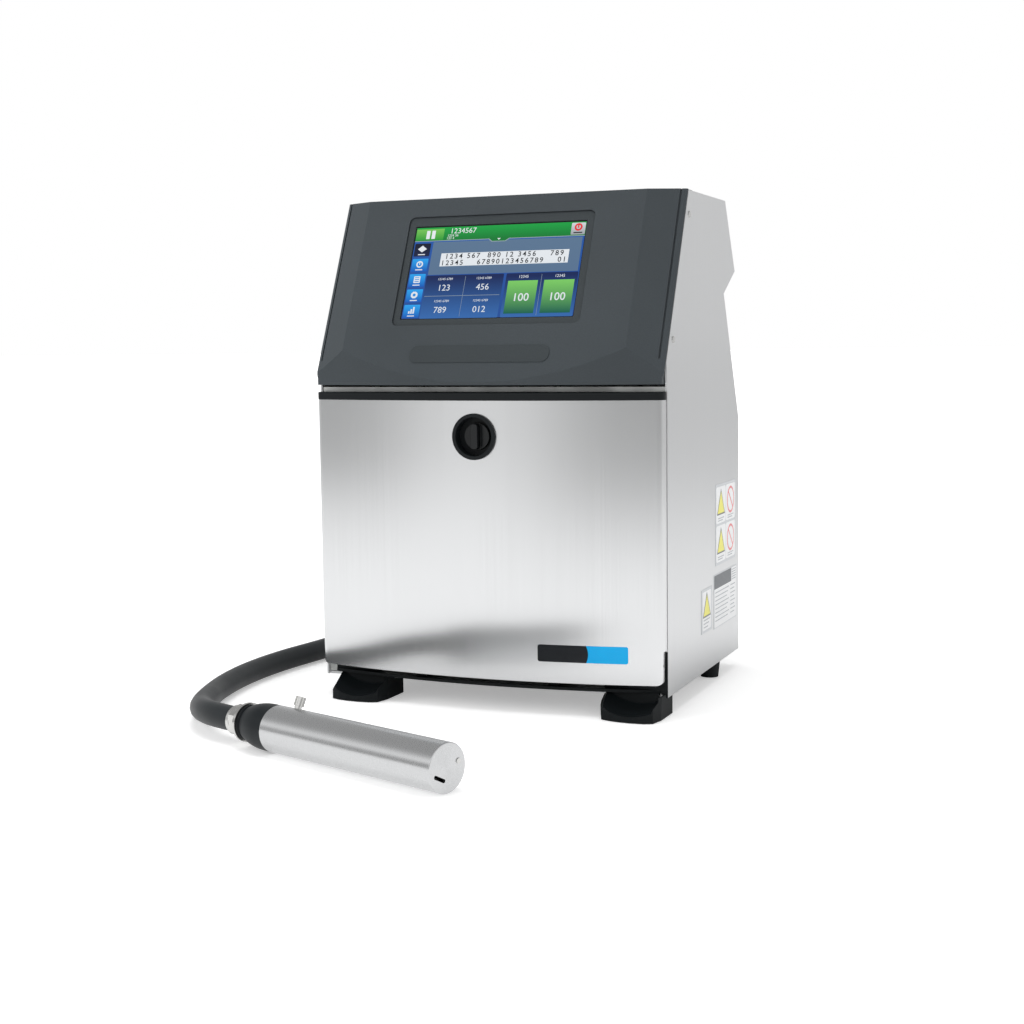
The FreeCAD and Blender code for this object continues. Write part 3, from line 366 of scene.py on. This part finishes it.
def hose_jacket():
    """Charcoal rubber with a fine rough skin, here and there a little darker or duller."""
    material, tree, shader = new_material("hose_jacket")
    place = surface_place(tree)
    skin = noise(tree, place, 420.0, 4.0)
    drift = noise(tree, place, 30.0, 3.0)
    colour = tone(25, 30, 33)
    base = mixed(tree, spread(tree, drift, 0.0, 1.0), scaled(colour, 0.82), scaled(colour, 1.12))
    settle(tree, shader, {
        "Base Color": base,
        "Roughness": spread(tree, drift, 0.42, 0.55),
        "Specular IOR Level": 0.25,
        "Sheen Weight": 0.08,
        "Normal": raised(tree, skin, 0.35, 0.0002),
    })
    return material


def two_tone_badge():
    """A glossy plate, dark on the left and cyan on the right, with a slightly curved joint."""
    material, tree, shader = new_material("badge_gloss")
    low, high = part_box("door_badge")
    coordinates = own_place(tree)
    parts = add(tree, "SeparateXYZ", {"Vector": coordinates})
    middle = (low.z + high.z) / 2
    rise = add(tree, "Math", {0: parts.outputs["Z"], 1: middle}, operation="SUBTRACT").outputs[0]
    square = add(tree, "Math", {0: rise, 1: 2.0}, operation="POWER").outputs[0]
    bow = add(tree, "Math", {0: square, 1: 30.0}, operation="MULTIPLY").outputs[0]
    across = add(tree, "Math", {0: parts.outputs["X"], 1: bow}, operation="ADD").outputs[0]
    joint = low.x + BADGE_JOINT * (high.x - low.x)
    inputs = {"Value": across, "From Min": joint - 0.0002, "From Max": joint + 0.0002}
    side = add(tree, "MapRange", inputs).outputs["Result"]
    drift = noise(tree, coordinates, 40.0)
    dark = mixed(tree, drift, tone(18, 21, 25), tone(26, 30, 34))
    cyan = mixed(tree, drift, tone(0, 172, 240), tone(0, 188, 252))
    settle(tree, shader, {
        "Base Color": mixed(tree, side, dark, cyan),
        "Roughness": spread(tree, drift, 0.16, 0.24),
        "Specular IOR Level": 0.2,
        "Coat Weight": 0.15,
        "Coat Roughness": 0.05,
    })
    return material


def lit(name, lower, upper, low_height, high_height):
    """A lit part of the display: a colour that runs upwards, under the gloss of the glass."""
    material, tree, shader = new_material(name)
    coordinates = own_place(tree)
    height = add(tree, "SeparateXYZ", {"Vector": coordinates}).outputs["Z"]
    inputs = {"Value": height, "From Min": low_height, "From Max": high_height}
    climb = add(tree, "MapRange", inputs).outputs["Result"]
    colour = mixed(tree, climb, lower, upper)
    settle(tree, shader, {
        "Base Color": mixed(tree, 0.9, colour, (0.0, 0.0, 0.0, 1.0)),
        "Roughness": spread(tree, noise(tree, coordinates, 50.0), 0.10, 0.14),
        "Specular IOR Level": 0.35,
        "Emission Color": colour,
        "Emission Strength": 0.92,
    })
    return material


def printed(name, colour):
    """Ink on a matt foil."""
    material, tree, shader = new_material(name)
    place = surface_place(tree)
    mottle = noise(tree, place, 500.0, 3.0)
    settle(tree, shader, {
        "Base Color": mixed(tree, mottle, scaled(colour, 0.93), colour),
        "Roughness": spread(tree, mottle, 0.40, 0.50),
        "Normal": raised(tree, mottle, 0.05, 0.00002),
    })
    return material


def bottle(name, colour, through):
    """Blow-moulded bottle: waxy, a little see-through, with a soft unevenness."""
    material, tree, shader = new_material(name)
    place = surface_place(tree)
    uneven = noise(tree, place, 35.0, 3.0)
    settle(tree, shader, {
        "Base Color": mixed(tree, uneven, scaled(colour, 0.9), colour),
        "Roughness": spread(tree, uneven, 0.34, 0.44),
        "Subsurface Weight": through,
        "Subsurface Radius": (0.01, 0.01, 0.01),
        "Normal": raised(tree, uneven, 0.15, 0.0006),
    })
    return material


def circuit_board():
    """Green solder mask with tracks that show through it."""
    material, tree, shader = new_material("board_green")
    place = surface_place(tree)
    inputs = {"Vector": place, "Scale": 160.0, "Mortar Size": 0.06, "Brick Width": 1.6, "Row Height": 0.35}
    tracks = add(tree, "TexBrick", inputs).outputs["Fac"]
    settle(tree, shader, {
        "Base Color": mixed(tree, tracks, tone(18, 92, 52), tone(62, 140, 84)),
        "Roughness": spread(tree, noise(tree, place, 90.0), 0.28, 0.38),
        "Normal": raised(tree, tracks, 0.2, 0.00005),
    })
    return material


def frontal(tree, heading):
    """How much a heading points to the front, and how much to the room's soft bright patch there,
    which is a little to the left. Both run from 0 to 1."""
    along_patch = add(tree, "VectorMath", {0: heading, 1: PATCH}, operation="DOT_PRODUCT").outputs["Value"]
    patch = ramp(tree, along_patch, 0.940, 1.0, 0.0, 1.0)
    depth = add(tree, "SeparateXYZ", {"Vector": heading}).outputs["Y"]
    return ramp(tree, depth, -0.10, -0.50, 0.0, 1.0), patch


def floor_paper():
    """White studio paper that glows. For the camera the glow is low close to the object, which lifts its
    shade to grey, and full away from it, where the paper is pure white. What the metal mirrors of it is
    painted light: a grey glow with painted shade close to the object, brighter far off in front."""
    material, tree, shader = new_material("studio_floor")
    place = surface_place(tree)
    fibres = noise(tree, place, 300.0, 3.0)
    reach = length(tree, place)
    ahead, patch = frontal(tree, unit(tree, place))
    # Painted light: far off, the glow that the metal mirrors is brightest towards the bright patch in
    # front.
    far_front = ramp(tree, patch, 0.0, 1.0, 0.12, 0.70)
    far = mixed(tree, ahead, (0.36, 0.36, 0.36, 1.0), far_front)
    # Painted shade: close to the object the glow that the metal mirrors fades to nothing, so the metal
    # mirrors the floor under and beside the object dark.
    painted_shade_near = ramp(tree, reach, 0.16, 0.44, 0.0, 0.66)
    mirrored = mixed(tree, ramp(tree, reach, 0.7, 3.2, 0.0, 1.0), painted_shade_near, far)
    # Painted light: for the camera the floor glows at 0.36 close to the object, which lifts its shadows to
    # grey, and fully far off, which makes it pure white there.
    camera_glow = ramp(tree, reach, 0.7, 1.7, 0.36, 1.0)
    seen = add(tree, "LightPath", {}).outputs["Is Camera Ray"]
    # Painted shade: the paper is 0.88 to 0.90 light for the camera, and only 0.45 for the light it bounces
    # and for what the metal mirrors.
    seen_tone = mixed(tree, fibres, (0.88, 0.88, 0.88, 1.0), (0.90, 0.90, 0.90, 1.0))
    settle(tree, shader, {
        "Base Color": mixed(tree, seen, (0.45, 0.45, 0.45, 1.0), seen_tone),
        "Roughness": 0.9,
        "Specular IOR Level": 0.1,
        "Emission Color": mixed(tree, seen, mirrored, camera_glow),
        "Emission Strength": 1.0,
    })
    return material


def make_materials():
    """The finish of each material slot of the record."""
    return {
        "steel_panel": brushed("steel_panel", tone(226, 227, 228), 1500.0, 0.34, 0.80, 0.03),
        "steel_door": brushed("steel_door", tone(226, 227, 228), 1700.0, 0.22, 0.92, 0.05),
        "hood_plastic": moulded("hood_plastic", tone(64, 70, 74), 0.50, 0.0011, 0.00018),
        "black_trim": moulded("black_trim", tone(20, 24, 26), 0.46, 0.0009, 0.00008, 0.0, 0.2),
        "latch_black": moulded("latch_black", tone(14, 18, 20), 0.30, 0.0012, 0.00004, 0.1),
        "screen": moulded("screen", tone(10, 11, 13), 0.10, 0.0030, 0.00001, 0.8),
        "bezel": moulded("bezel", tone(57, 63, 66), 0.48, 0.0011, 0.00014),
        "badge": two_tone_badge(),
        "label": printed("label", tone(214, 217, 220)),
        "rubber": moulded("rubber", tone(22, 26, 28), 0.62, 0.0010, 0.00012),
        "hose_jacket": hose_jacket(),
        "head_steel": turned_steel("head_steel"),
        "bright_metal": machined("bright_metal", tone(214, 214, 212), 0.22),
        "light_alloy": machined("light_alloy", tone(198, 200, 203), 0.42),
        "zinc": machined("zinc", tone(196, 198, 196), 0.38),
        "collar_plastic": moulded("collar_plastic", tone(22, 27, 30), 0.44, 0.0012, 0.00006, 0.0, 0.2),
        "deck_plastic": moulded("deck_plastic", tone(186, 188, 186), 0.45, 0.0012, 0.00006),
        "ink_bottle": bottle("ink_bottle", tone(44, 46, 52), 0.0),
        "makeup_bottle": bottle("makeup_bottle", tone(226, 224, 214), 0.3),
        "core_plastic": moulded("core_plastic", tone(92, 98, 104), 0.42, 0.0012, 0.00006),
        "dock_plastic": moulded("dock_plastic", tone(58, 62, 66), 0.46, 0.0012, 0.00008),
        "motor_metal": machined("motor_metal", tone(150, 152, 154), 0.36),
        "filter_plastic": bottle("filter_plastic", tone(222, 222, 216), 0.2),
        "brass_parts": machined("brass_parts", tone(206, 172, 98), 0.30),
        "board_green": circuit_board(),
        "fan_black": moulded("fan_black", tone(28, 29, 30), 0.44, 0.0012, 0.00005),
    }


# ---- the CAD nodes with their edges rounded ----

def welded(name):
    """A CAD node's faces, joined at their shared corners."""
    shape = bmesh.new()
    shape.from_mesh(frame["nodes"][name].data)
    bmesh.ops.remove_doubles(shape, verts=shape.verts, dist=WELD)
    return shape


def rounded_copy(name, width, crease):
    """Stands for a CAD node: its facets joined into whole faces, and its sharp edges rounded.

    An edge is sharp where its faces turn by more than the crease angle, in degrees."""
    shape = welded(name)
    flat = math.radians(FLAT)
    bmesh.ops.dissolve_limit(shape, angle_limit=flat, verts=shape.verts, edges=shape.edges)
    mesh = bpy.data.meshes.new(name + "_skin")
    shape.to_mesh(mesh)
    shape.free()
    mesh.shade_smooth()
    mesh.set_sharp_from_angle(angle=math.radians(crease))
    copy = bpy.data.objects.new(name + "_skin", mesh)
    scene.collection.objects.link(copy)
    bevel = copy.modifiers.new("edges", "BEVEL")
    bevel.width = width
    bevel.segments = 2
    bevel.limit_method = "ANGLE"
    bevel.angle_limit = math.radians(crease)
    bevel.harden_normals = True
    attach(copy, frame["nodes"][name]["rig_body"])
    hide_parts(name)
    return copy


def dress_nodes(materials):
    """Gives each CAD node the finish of its slot, and rounds the edges of those that show."""
    edge_width = {
        "side_panel_right": 0.0005, "side_panel_left": 0.0005, "rear_panel": 0.0004,
        "top_cover": 0.0005, "grip_cover": 0.0005, "base_trim": 0.0008, "hood": 0.0010,
        "screen_bezel": 0.0006, "nameplate": 0.0005, "door_skin": 0.0005,
        "door_top_trim": 0.0008, "door_badge": 0.0003, "latch_cup": 0.0005,
        "latch_knob": 0.0006, "gland_nut": 0.0006, "front_screw": 0.0003,
        "umbilical_gland": 0.0005, "power_entry": 0.0006, "switch_rocker": 0.0005,
        "ink_cartridge": 0.0010, "makeup_cartridge": 0.0010, "cartridge_dock": 0.0008,
        "power_supply": 0.0006, "front_frame": 0.0004, "ink_core": 0.0010, "ink_core_lid": 0.0010,
    }
    for row in frame["record"]["subparts"]:
        name = row["node"]
        slot = row["material_slot"]
        if name in ("hose", "hose_coil", "hose_tail"):
            continue
        if name in edge_width:
            crease = HOOD_CREASE if name == "hood" else CREASE
            shown = rounded_copy(name, edge_width[name], crease)
            shown.data.materials.clear()
            shown.data.materials.append(materials[slot])
            continue
        for holder in frame["nodes"][name].material_slots:
            holder.material = materials[slot]


# ---- flat pictures: the display and the stickers ----

class Picture:
    """Thin plates and digits on one flat face, in layers.

    Places are shares of the face's width and height, from its top left corner."""

    def __init__(self, place, width, height):
        self.place = place
        self.width = width
        self.height = height
        self.shape = bmesh.new()
        self.materials = []

    def at(self, across, down):
        """A place in metres from the face's middle."""
        return Vector(((across - 0.5) * self.width, (0.5 - down) * self.height, 0.0))

    def number(self, material):
        """The number of a material in the picture, to which it is added if it is new."""
        if material not in self.materials:
            self.materials.append(material)
        return self.materials.index(material)

    def outline(self, points, material, layer):
        """A closed plate with this outline, in metres from the face's middle."""
        index = self.number(material)
        rings = []
        for lift in (0.3 * FILM, layer * FILM):
            ring = [self.shape.verts.new(self.place @ Vector((p.x, p.y, lift))) for p in points]
            rings.append(ring)
        bottom, top = rings
        faces = [self.shape.faces.new(top), self.shape.faces.new(list(reversed(bottom)))]
        for here in range(len(points)):
            after = (here + 1) % len(points)
            faces.append(self.shape.faces.new((bottom[here], bottom[after], top[after], top[here])))
        for face in faces:
            face.material_index = index

    def plate(self, left, right, top, bottom, material, layer, radius=0.0):
        """A rectangle with corners of the given radius in metres."""
        low = self.at(left, bottom)
        high = self.at(right, top)
        if radius == 0.0:
            corners = [low, Vector((high.x, low.y, 0)), high, Vector((low.x, high.y, 0))]
            self.outline(corners, material, layer)
            return
        points = []
        centres = (
            (high.x - radius, low.y + radius, -90),
            (high.x - radius, high.y - radius, 0),
            (low.x + radius, high.y - radius, 90),
            (low.x + radius, low.y + radius, 180),
        )
        for x, y, start in centres:
            for step in range(5):
                angle = math.radians(start + 22.5 * step)
                points.append(Vector((x + radius * math.cos(angle), y + radius * math.sin(angle), 0)))
        self.outline(points, material, layer)

    def disc(self, across, down, radius, material, layer, sides=28, start=0.0):
        """A disc, or a regular shape of few sides, of the given radius in metres."""
        centre = self.at(across, down)
        points = []
        for side in range(sides):
            angle = math.radians(start) + 2 * math.pi * side / sides
            points.append(centre + radius * Vector((math.cos(angle), math.sin(angle), 0)))
        self.outline(points, material, layer)

    def bar(self, across, down, length, breadth, angle, material, layer):
        """A strip through a point, turned by an angle in degrees."""
        centre = self.at(across, down)
        along = Vector((math.cos(math.radians(angle)), math.sin(math.radians(angle)), 0))
        side = Vector((-along.y, along.x, 0))
        corners = []
        for end, edge in ((-1, -1), (1, -1), (1, 1), (-1, 1)):
            corners.append(centre + along * (end * length / 2) + side * (edge * breadth / 2))
        self.outline(corners, material, layer)

    def digits(self, text, across, down, size, material, layer, spacing=1.0, weight=0.0):
        """Generic digits, centred on a point, and bolder by the given weight in metres."""
        index = self.number(material)
        curve = bpy.data.curves.new("digits", "FONT")
        curve.body = text
        curve.size = size
        curve.align_x = "CENTER"
        curve.align_y = "CENTER"
        curve.space_character = spacing
        curve.extrude = 0.4 * FILM
        curve.offset = weight
        curve.resolution_u = 3
        holder = bpy.data.objects.new("digits", curve)
        scene.collection.objects.link(holder)
        mesh = bpy.data.meshes.new_from_object(holder)
        lift = Vector((0, 0, (layer - 0.4) * FILM))
        mesh.transform(self.place @ Matrix.Translation(self.at(across, down) + lift))
        known = len(self.shape.faces)
        self.shape.from_mesh(mesh)
        self.shape.faces.ensure_lookup_table()
        for face in self.shape.faces[known:]:
            face.material_index = index
        bpy.data.objects.remove(holder)
        bpy.data.meshes.remove(mesh)
        bpy.data.curves.remove(curve)

    def finish(self, name, body, slot):
        """The picture as one piece that rides on a body."""
        mesh = bpy.data.meshes.new(name)
        self.shape.to_mesh(mesh)
        self.shape.free()
        for material in self.materials:
            mesh.materials.append(material)
        piece = bpy.data.objects.new(name, mesh)
        scene.collection.objects.link(piece)
        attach(piece, body)


def face_place(right, up, out, centre):
    """The place of a flat face, from its own three directions and its middle."""
    return Matrix.Translation(centre) @ Matrix((right, up, out)).transposed().to_4x4()


def screen_face():
    """The place, width and height of the glass pane's front face, from the pane's box."""
    low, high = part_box("touch_glass")
    size = high - low
    sine = math.sin(HOOD_LEAN)
    cosine = math.cos(HOOD_LEAN)
    spare = cosine * cosine - sine * sine
    height = (size.z * cosine - size.y * sine) / spare
    thickness = (size.y * cosine - size.z * sine) / spare
    up = Vector((0, sine, cosine))
    out = Vector((0, -cosine, sine))
    centre = (low + high) / 2 + out * (thickness / 2)
    return face_place((1, 0, 0), up, out, centre), size.x, height


def display_inks(level):
    """The lit colours of the display, each with its lower and upper tone, and where the one runs into
    the other."""
    return {
        "black": lit("display_black", tone(8, 9, 11), tone(12, 13, 16), level(1), level(0)),
        "green": lit("display_green", tone(8, 118, 48), tone(20, 160, 66), level(0.15), level(0)),
        "light green": lit(
            "display_light_green", tone(30, 148, 48), tone(112, 190, 84), level(0.15), level(0.03),
        ),
        "white": lit("display_white", tone(216, 222, 228), tone(226, 230, 234), level(1), level(0)),
        "pale": lit("display_pale", tone(120, 136, 158), tone(150, 168, 170), level(1), level(0)),
        "silver": lit("display_silver", tone(150, 154, 160), tone(214, 218, 222), level(0.15), level(0)),
        "red": lit("display_red", tone(206, 36, 40), tone(226, 60, 58), level(0.15), level(0)),
        "slate": lit("display_slate", tone(84, 110, 140), tone(88, 114, 142), level(0.53), level(0.17)),
        "blue": lit("display_blue", tone(28, 74, 146), tone(30, 84, 164), level(1), level(0)),
        "deep": lit("display_deep_blue", tone(46, 100, 168), tone(8, 32, 84), level(0.99), level(0.56)),
        "ink": lit("display_ink", tone(24, 28, 34), tone(30, 34, 40), level(1), level(0)),
        "tile": lit("display_tile", tone(8, 92, 74), tone(120, 198, 96), level(0.95), level(0.61)),
    }


def make_display():
    """What the touch screen shows: a status bar, a column of keys, and panels with generic digits."""
    place, width, height = screen_face()
    picture = Picture(place, width, height)
    low = place @ Vector((0, -height / 2, 0))
    rise = height * math.cos(HOOD_LEAN)

    def level(down):
        """The height in space of this share of the picture's height, counted from its top."""
        return low.z + rise * (1 - down)

    inks = display_inks(level)
    picture.plate(0.0, 1.0, 0.0, 1.0, inks["black"], 1)
    picture.plate(0.004, 0.996, 0.010, 0.990, inks["blue"], 2, 0.001)
    draw_status_bar(picture, inks)
    draw_key_column(picture, level, inks["white"])
    draw_message(picture, inks)
    draw_counts(picture, inks)
    draw_supplies(picture, inks)
    picture.finish("display_picture", "root", "screen")


def draw_status_bar(picture, inks):
    """The green bar: a pause key, three rows of digits, an off key, and a tab in the middle."""
    white = inks["white"]
    picture.plate(0.004, 0.996, 0.010, 0.160, inks["pale"], 3)
    picture.plate(0.004, 0.996, 0.010, 0.153, inks["green"], 4)
    tab_edge = ((0.438, 0.150), (0.464, 0.187), (0.545, 0.187), (0.574, 0.150))
    tab = ((0.442, 0.145), (0.467, 0.180), (0.542, 0.180), (0.570, 0.145))
    arrow = ((0.495, 0.152), (0.505, 0.170), (0.515, 0.152))
    picture.outline([picture.at(*spot) for spot in tab_edge], inks["pale"], 4)
    picture.outline([picture.at(*spot) for spot in tab], inks["green"], 5)
    picture.outline([picture.at(*spot) for spot in arrow], white, 6)
    picture.plate(0.006, 0.172, 0.026, 0.148, inks["light green"], 5)
    for left in (0.068, 0.100):
        picture.plate(left, left + 0.021, 0.044, 0.134, white, 6, 0.0003)
    picture.digits("1234567", 0.286, 0.058, 0.0080, white, 5)
    picture.digits("1234 56", 0.228, 0.105, 0.0036, white, 5)
    picture.digits("123 4", 0.215, 0.134, 0.0036, white, 5)
    picture.plate(0.915, 0.994, 0.020, 0.145, inks["silver"], 5, 0.0008)
    picture.disc(0.955, 0.066, 0.0040, inks["red"], 6)
    picture.disc(0.955, 0.066, 0.0022, inks["silver"], 7)
    picture.plate(0.951, 0.959, 0.030, 0.075, inks["red"], 8)
    picture.plate(0.930, 0.980, 0.118, 0.130, inks["ink"], 6)


def draw_key_column(picture, level, white):
    """Five keys at the left of the display, the first one dark, each with a plain generic sign."""
    for number in range(5):
        top = 0.182 + 0.165 * number
        bottom = top + 0.138
        if number == 0:
            face = lit("display_key_dark", tone(14, 26, 66), tone(6, 14, 36), level(bottom), level(top))
        else:
            name = f"display_key_{number}"
            face = lit(name, tone(0, 84, 178), tone(36, 158, 232), level(bottom), level(top))
        picture.plate(0.010, 0.105, top, bottom, face, 3, 0.0008)
        picture.plate(0.036, 0.078, bottom - 0.024, bottom - 0.014, white, 4)
        draw_key_sign(picture, number, top + 0.060, face, white)


def draw_key_sign(picture, number, middle, face, white):
    """From the top key down: a diamond, an off sign, a list, a wheel and three columns."""
    if number == 0:
        diamond = ((0.030, 0.0), (0.057, 0.034), (0.084, 0.0), (0.057, -0.038))
        picture.outline([picture.at(across, middle + down) for across, down in diamond], white, 4)
    elif number == 1:
        picture.disc(0.057, middle, 0.0036, white, 4)
        picture.disc(0.057, middle, 0.0022, face, 5)
        picture.bar(0.057, middle - 0.010, 0.0030, 0.0009, 90, white, 6)
    elif number == 2:
        picture.plate(0.038, 0.076, middle - 0.036, middle + 0.036, white, 4, 0.0006)
        for row in (-0.020, 0.0, 0.020):
            picture.plate(0.044, 0.070, middle + row - 0.004, middle + row + 0.004, face, 5)
    elif number == 3:
        picture.disc(0.057, middle, 0.0038, white, 4, 8, 22.5)
        picture.disc(0.057, middle, 0.0016, face, 5)
    else:
        for column, tall in enumerate((0.026, 0.048, 0.070)):
            left = 0.039 + 0.013 * column
            picture.plate(left, left + 0.009, middle + 0.034 - tall, middle + 0.034, white, 4)


def draw_message(picture, inks):
    """The code that is printed, as two rows of digits on a white band."""
    picture.plate(0.118, 0.986, 0.170, 0.525, inks["slate"], 3)
    picture.plate(0.178, 0.922, 0.296, 0.436, inks["white"], 4)
    rows = ((0.333, "1234 567  890 12 3456    789"), (0.403, "12345    67890123456789    01"))
    for down, text in rows:
        picture.digits(text, 0.548, down, 0.0076, inks["ink"], 5, 1.32, 0.00008)


def draw_counts(picture, inks):
    """The lower left panel: four counters under small headings."""
    picture.plate(0.112, 0.569, 0.533, 0.992, inks["deep"], 3, 0.0010)
    picture.plate(0.345, 0.347, 0.550, 0.975, inks["pale"], 4)
    picture.plate(0.120, 0.560, 0.752, 0.757, inks["pale"], 4)
    counts = ((0.228, 0.53, "123"), (0.455, 0.53, "456"), (0.226, 0.765, "789"), (0.455, 0.765, "012"))
    for across, top, text in counts:
        picture.digits("12345 6789", across, top + 0.045, 0.0034, inks["white"], 4)
        picture.digits(text, across, top + 0.140, 0.0092, inks["white"], 4)


def draw_supplies(picture, inks):
    """The lower right panel: a green tile for each of the two fluids."""
    picture.plate(0.584, 0.992, 0.533, 0.992, inks["deep"], 3, 0.0010)
    picture.plate(0.787, 0.789, 0.550, 0.975, inks["pale"], 4)
    for left in (0.600, 0.806):
        picture.digits("12345", left + 0.085, 0.572, 0.0042, inks["white"], 4)
        picture.plate(left, left + 0.170, 0.612, 0.955, inks["tile"], 4)
        picture.digits("100", left + 0.085, 0.790, 0.0115, inks["white"], 5, 1.0, 0.0001)


def solid_boxes(name):
    """The box of each separate solid of a CAD node: the lowest first, and in one row from the front."""
    shape = welded(name)
    left = set(shape.verts)
    boxes = []
    while left:
        reached = [left.pop()]
        members = []
        while reached:
            vertex = reached.pop()
            members.append(vertex.co.copy())
            for edge in vertex.link_edges:
                other = edge.other_vert(vertex)
                if other in left:
                    left.remove(other)
                    reached.append(other)
        low = Vector([min(co[axis] for co in members) for axis in range(3)])
        high = Vector([max(co[axis] for co in members) for axis in range(3)])
        boxes.append((low, high))
    shape.free()
    return sorted(boxes, key=lambda box: (box[0].z, box[0].y))


def side_picture(box):
    """A flat picture on a sticker of the right-hand side."""
    low, high = box
    centre = (high.x, (low.y + high.y) / 2, (low.z + high.z) / 2)
    place = face_place((0, 1, 0), (0, 0, 1), (1, 0, 0), centre)
    return Picture(place, high.y - low.y, high.z - low.z)


def make_stickers():
    """Plain coloured shapes in the places of the stickers' printing."""
    inks = {
        "white": printed("sticker_white", tone(250, 251, 252)),
        "grey": printed("sticker_grey", tone(112, 116, 120)),
        "pale": printed("sticker_line", tone(186, 190, 194)),
        "yellow": printed("sticker_yellow", tone(250, 244, 122)),
        "red": printed("sticker_red", tone(238, 140, 144)),
    }
    rating, small, signs = solid_boxes("side_labels")
    make_rating_sticker(side_picture(rating), inks)
    make_small_sticker(side_picture(small), inks)
    make_sign_sticker(side_picture(signs), inks)


def make_rating_sticker(picture, inks):
    """A grey block, and rows of plain lines in two columns."""
    picture.plate(0.012, 0.988, 0.02, 0.98, inks["white"], 1, 0.002)
    picture.plate(0.012, 0.76, 0.02, 0.27, inks["grey"], 2)
    for row in range(5):
        picture.plate(0.79, 0.97, 0.05 + 0.045 * row, 0.07 + 0.045 * row, inks["pale"], 2)
    for row in range(8):
        top = 0.33 + 0.075 * row
        picture.plate(0.05, 0.66 - 0.05 * (row % 3), top, top + 0.020, inks["pale"], 2)
        picture.plate(0.72, 0.94 - 0.04 * (row % 2), top, top + 0.020, inks["pale"], 2)
    picture.finish("sticker_rating", "root", "label")


def draw_triangle(picture, across, down, radius, inks):
    """A blank yellow triangle with a grey edge."""
    picture.disc(across, down, radius, inks["grey"], 2, 3, 90)
    picture.disc(across, down, radius - 0.0030, inks["yellow"], 3, 3, 90)


def make_small_sticker(picture, inks):
    """A blank triangle over three lines."""
    picture.plate(0.10, 0.90, 0.06, 0.94, inks["white"], 1, 0.002)
    draw_triangle(picture, 0.5, 0.46, 0.0170, inks)
    for row in range(3):
        top = 0.70 + 0.08 * row
        picture.plate(0.20, 0.80 - 0.10 * row, top, top + 0.025, inks["pale"], 2)
    picture.finish("sticker_small", "root", "label")


def make_sign_sticker(picture, inks):
    """Two rows, each with a blank triangle, a ring with a bar, and two lines under both."""
    for top in (0.035, 0.515):
        for column, left in enumerate((0.030, 0.510)):
            picture.plate(left, left + 0.46, top, top + 0.45, inks["white"], 1, 0.003)
            across = left + 0.23
            down = top + 0.20
            if column == 0:
                draw_triangle(picture, across, down + 0.040, 0.0180, inks)
            else:
                picture.disc(across, down, 0.0142, inks["red"], 2)
                picture.disc(across, down, 0.0118, inks["white"], 3)
                picture.bar(across, down, 0.0240, 0.0020, -45, inks["red"], 4)
            for line in range(2):
                start = top + 0.385 + 0.028 * line
                picture.plate(left + 0.08, left + 0.38 - 0.06 * line, start, start + 0.012, inks["pale"], 2)
    picture.finish("sticker_signs", "root", "label")


# ---- studio ----

def make_floor():
    """A wide sheet of paper under the object."""
    mesh = bpy.data.meshes.new("floor")
    corners = [(x * FLOOR_REACH, y * FLOOR_REACH, 0) for x, y in ((-1, -1), (1, -1), (1, 1), (-1, 1))]
    mesh.from_pydata(corners, [], [(0, 1, 2, 3)])
    mesh.materials.append(floor_paper())
    floor = bpy.data.objects.new("floor", mesh)
    floor.location.z = FLOOR_HEIGHT
    scene.collection.objects.link(floor)


def make_world():
    """White behind the object. Its metal mirrors a grey room that is dark in front at eye level, with
    a bright band above that."""
    world = bpy.data.worlds.new("studio")
    scene.world = world
    world.use_nodes = True
    tree = world.node_tree
    direction = add(tree, "TexCoord", {}).outputs["Generated"]
    up = add(tree, "SeparateXYZ", {"Vector": direction}).outputs["Z"]
    ahead, patch = frontal(tree, direction)
    rear = ramp(tree, up, 0.30, 0.55, 0.75, 0.42)
    level_front = ramp(tree, patch, 0.0, 1.0, 0.28, 1.0)
    band = ramp(tree, up, 0.42, 0.86, 1.20, 0.40)
    front = mixed(tree, ramp(tree, up, 0.16, 0.36, 0.0, 1.0), level_front, band)
    room = mixed(tree, ahead, rear, front)
    seen = add(tree, "LightPath", {}).outputs["Is Camera Ray"]
    colour = mixed(tree, seen, room, (1.0, 1.0, 1.0, 1.0))
    tree.links.new(colour, tree.nodes["Background"].inputs["Color"])


def add_area(name, place, target, size, power):
    """A soft box at a place, aimed at a target, that the metal does not mirror."""
    light = bpy.data.lights.new(name, "AREA")
    light.shape = "RECTANGLE"
    light.size, light.size_y = size
    light.energy = power
    lamp = bpy.data.objects.new(name, light)
    aim = Vector(target) - Vector(place)
    lamp.matrix_world = Matrix.Translation(place) @ aim.to_track_quat("-Z", "Y").to_matrix().to_4x4()
    lamp.visible_glossy = False
    scene.collection.objects.link(lamp)


def make_lights():
    """Broad soft boxes overhead, on the left and on the right."""
    add_area("overhead", (-0.15, -0.10, 2.30), (-0.10, -0.30, 0.0), (1.5, 1.2), 24.0)
    add_area("left", (-2.3, -1.1, 1.3), (-0.1, -0.2, 0.1), (1.8, 1.6), 22.0)
    add_area("right", (2.4, -0.5, 1.1), (0.1, 0.0, 0.2), (1.6, 1.6), 9.0)


def write_sizes():
    """Brings the scene's transforms up to date."""
    bpy.context.view_layer.update()


make_camera()
hose = make_hose()
make_floor()
make_world()
make_lights()
finishes = make_materials()
hose.data.materials.append(finishes["hose_jacket"])
dress_nodes(finishes)
make_display()
make_stickers()
write_sizes()
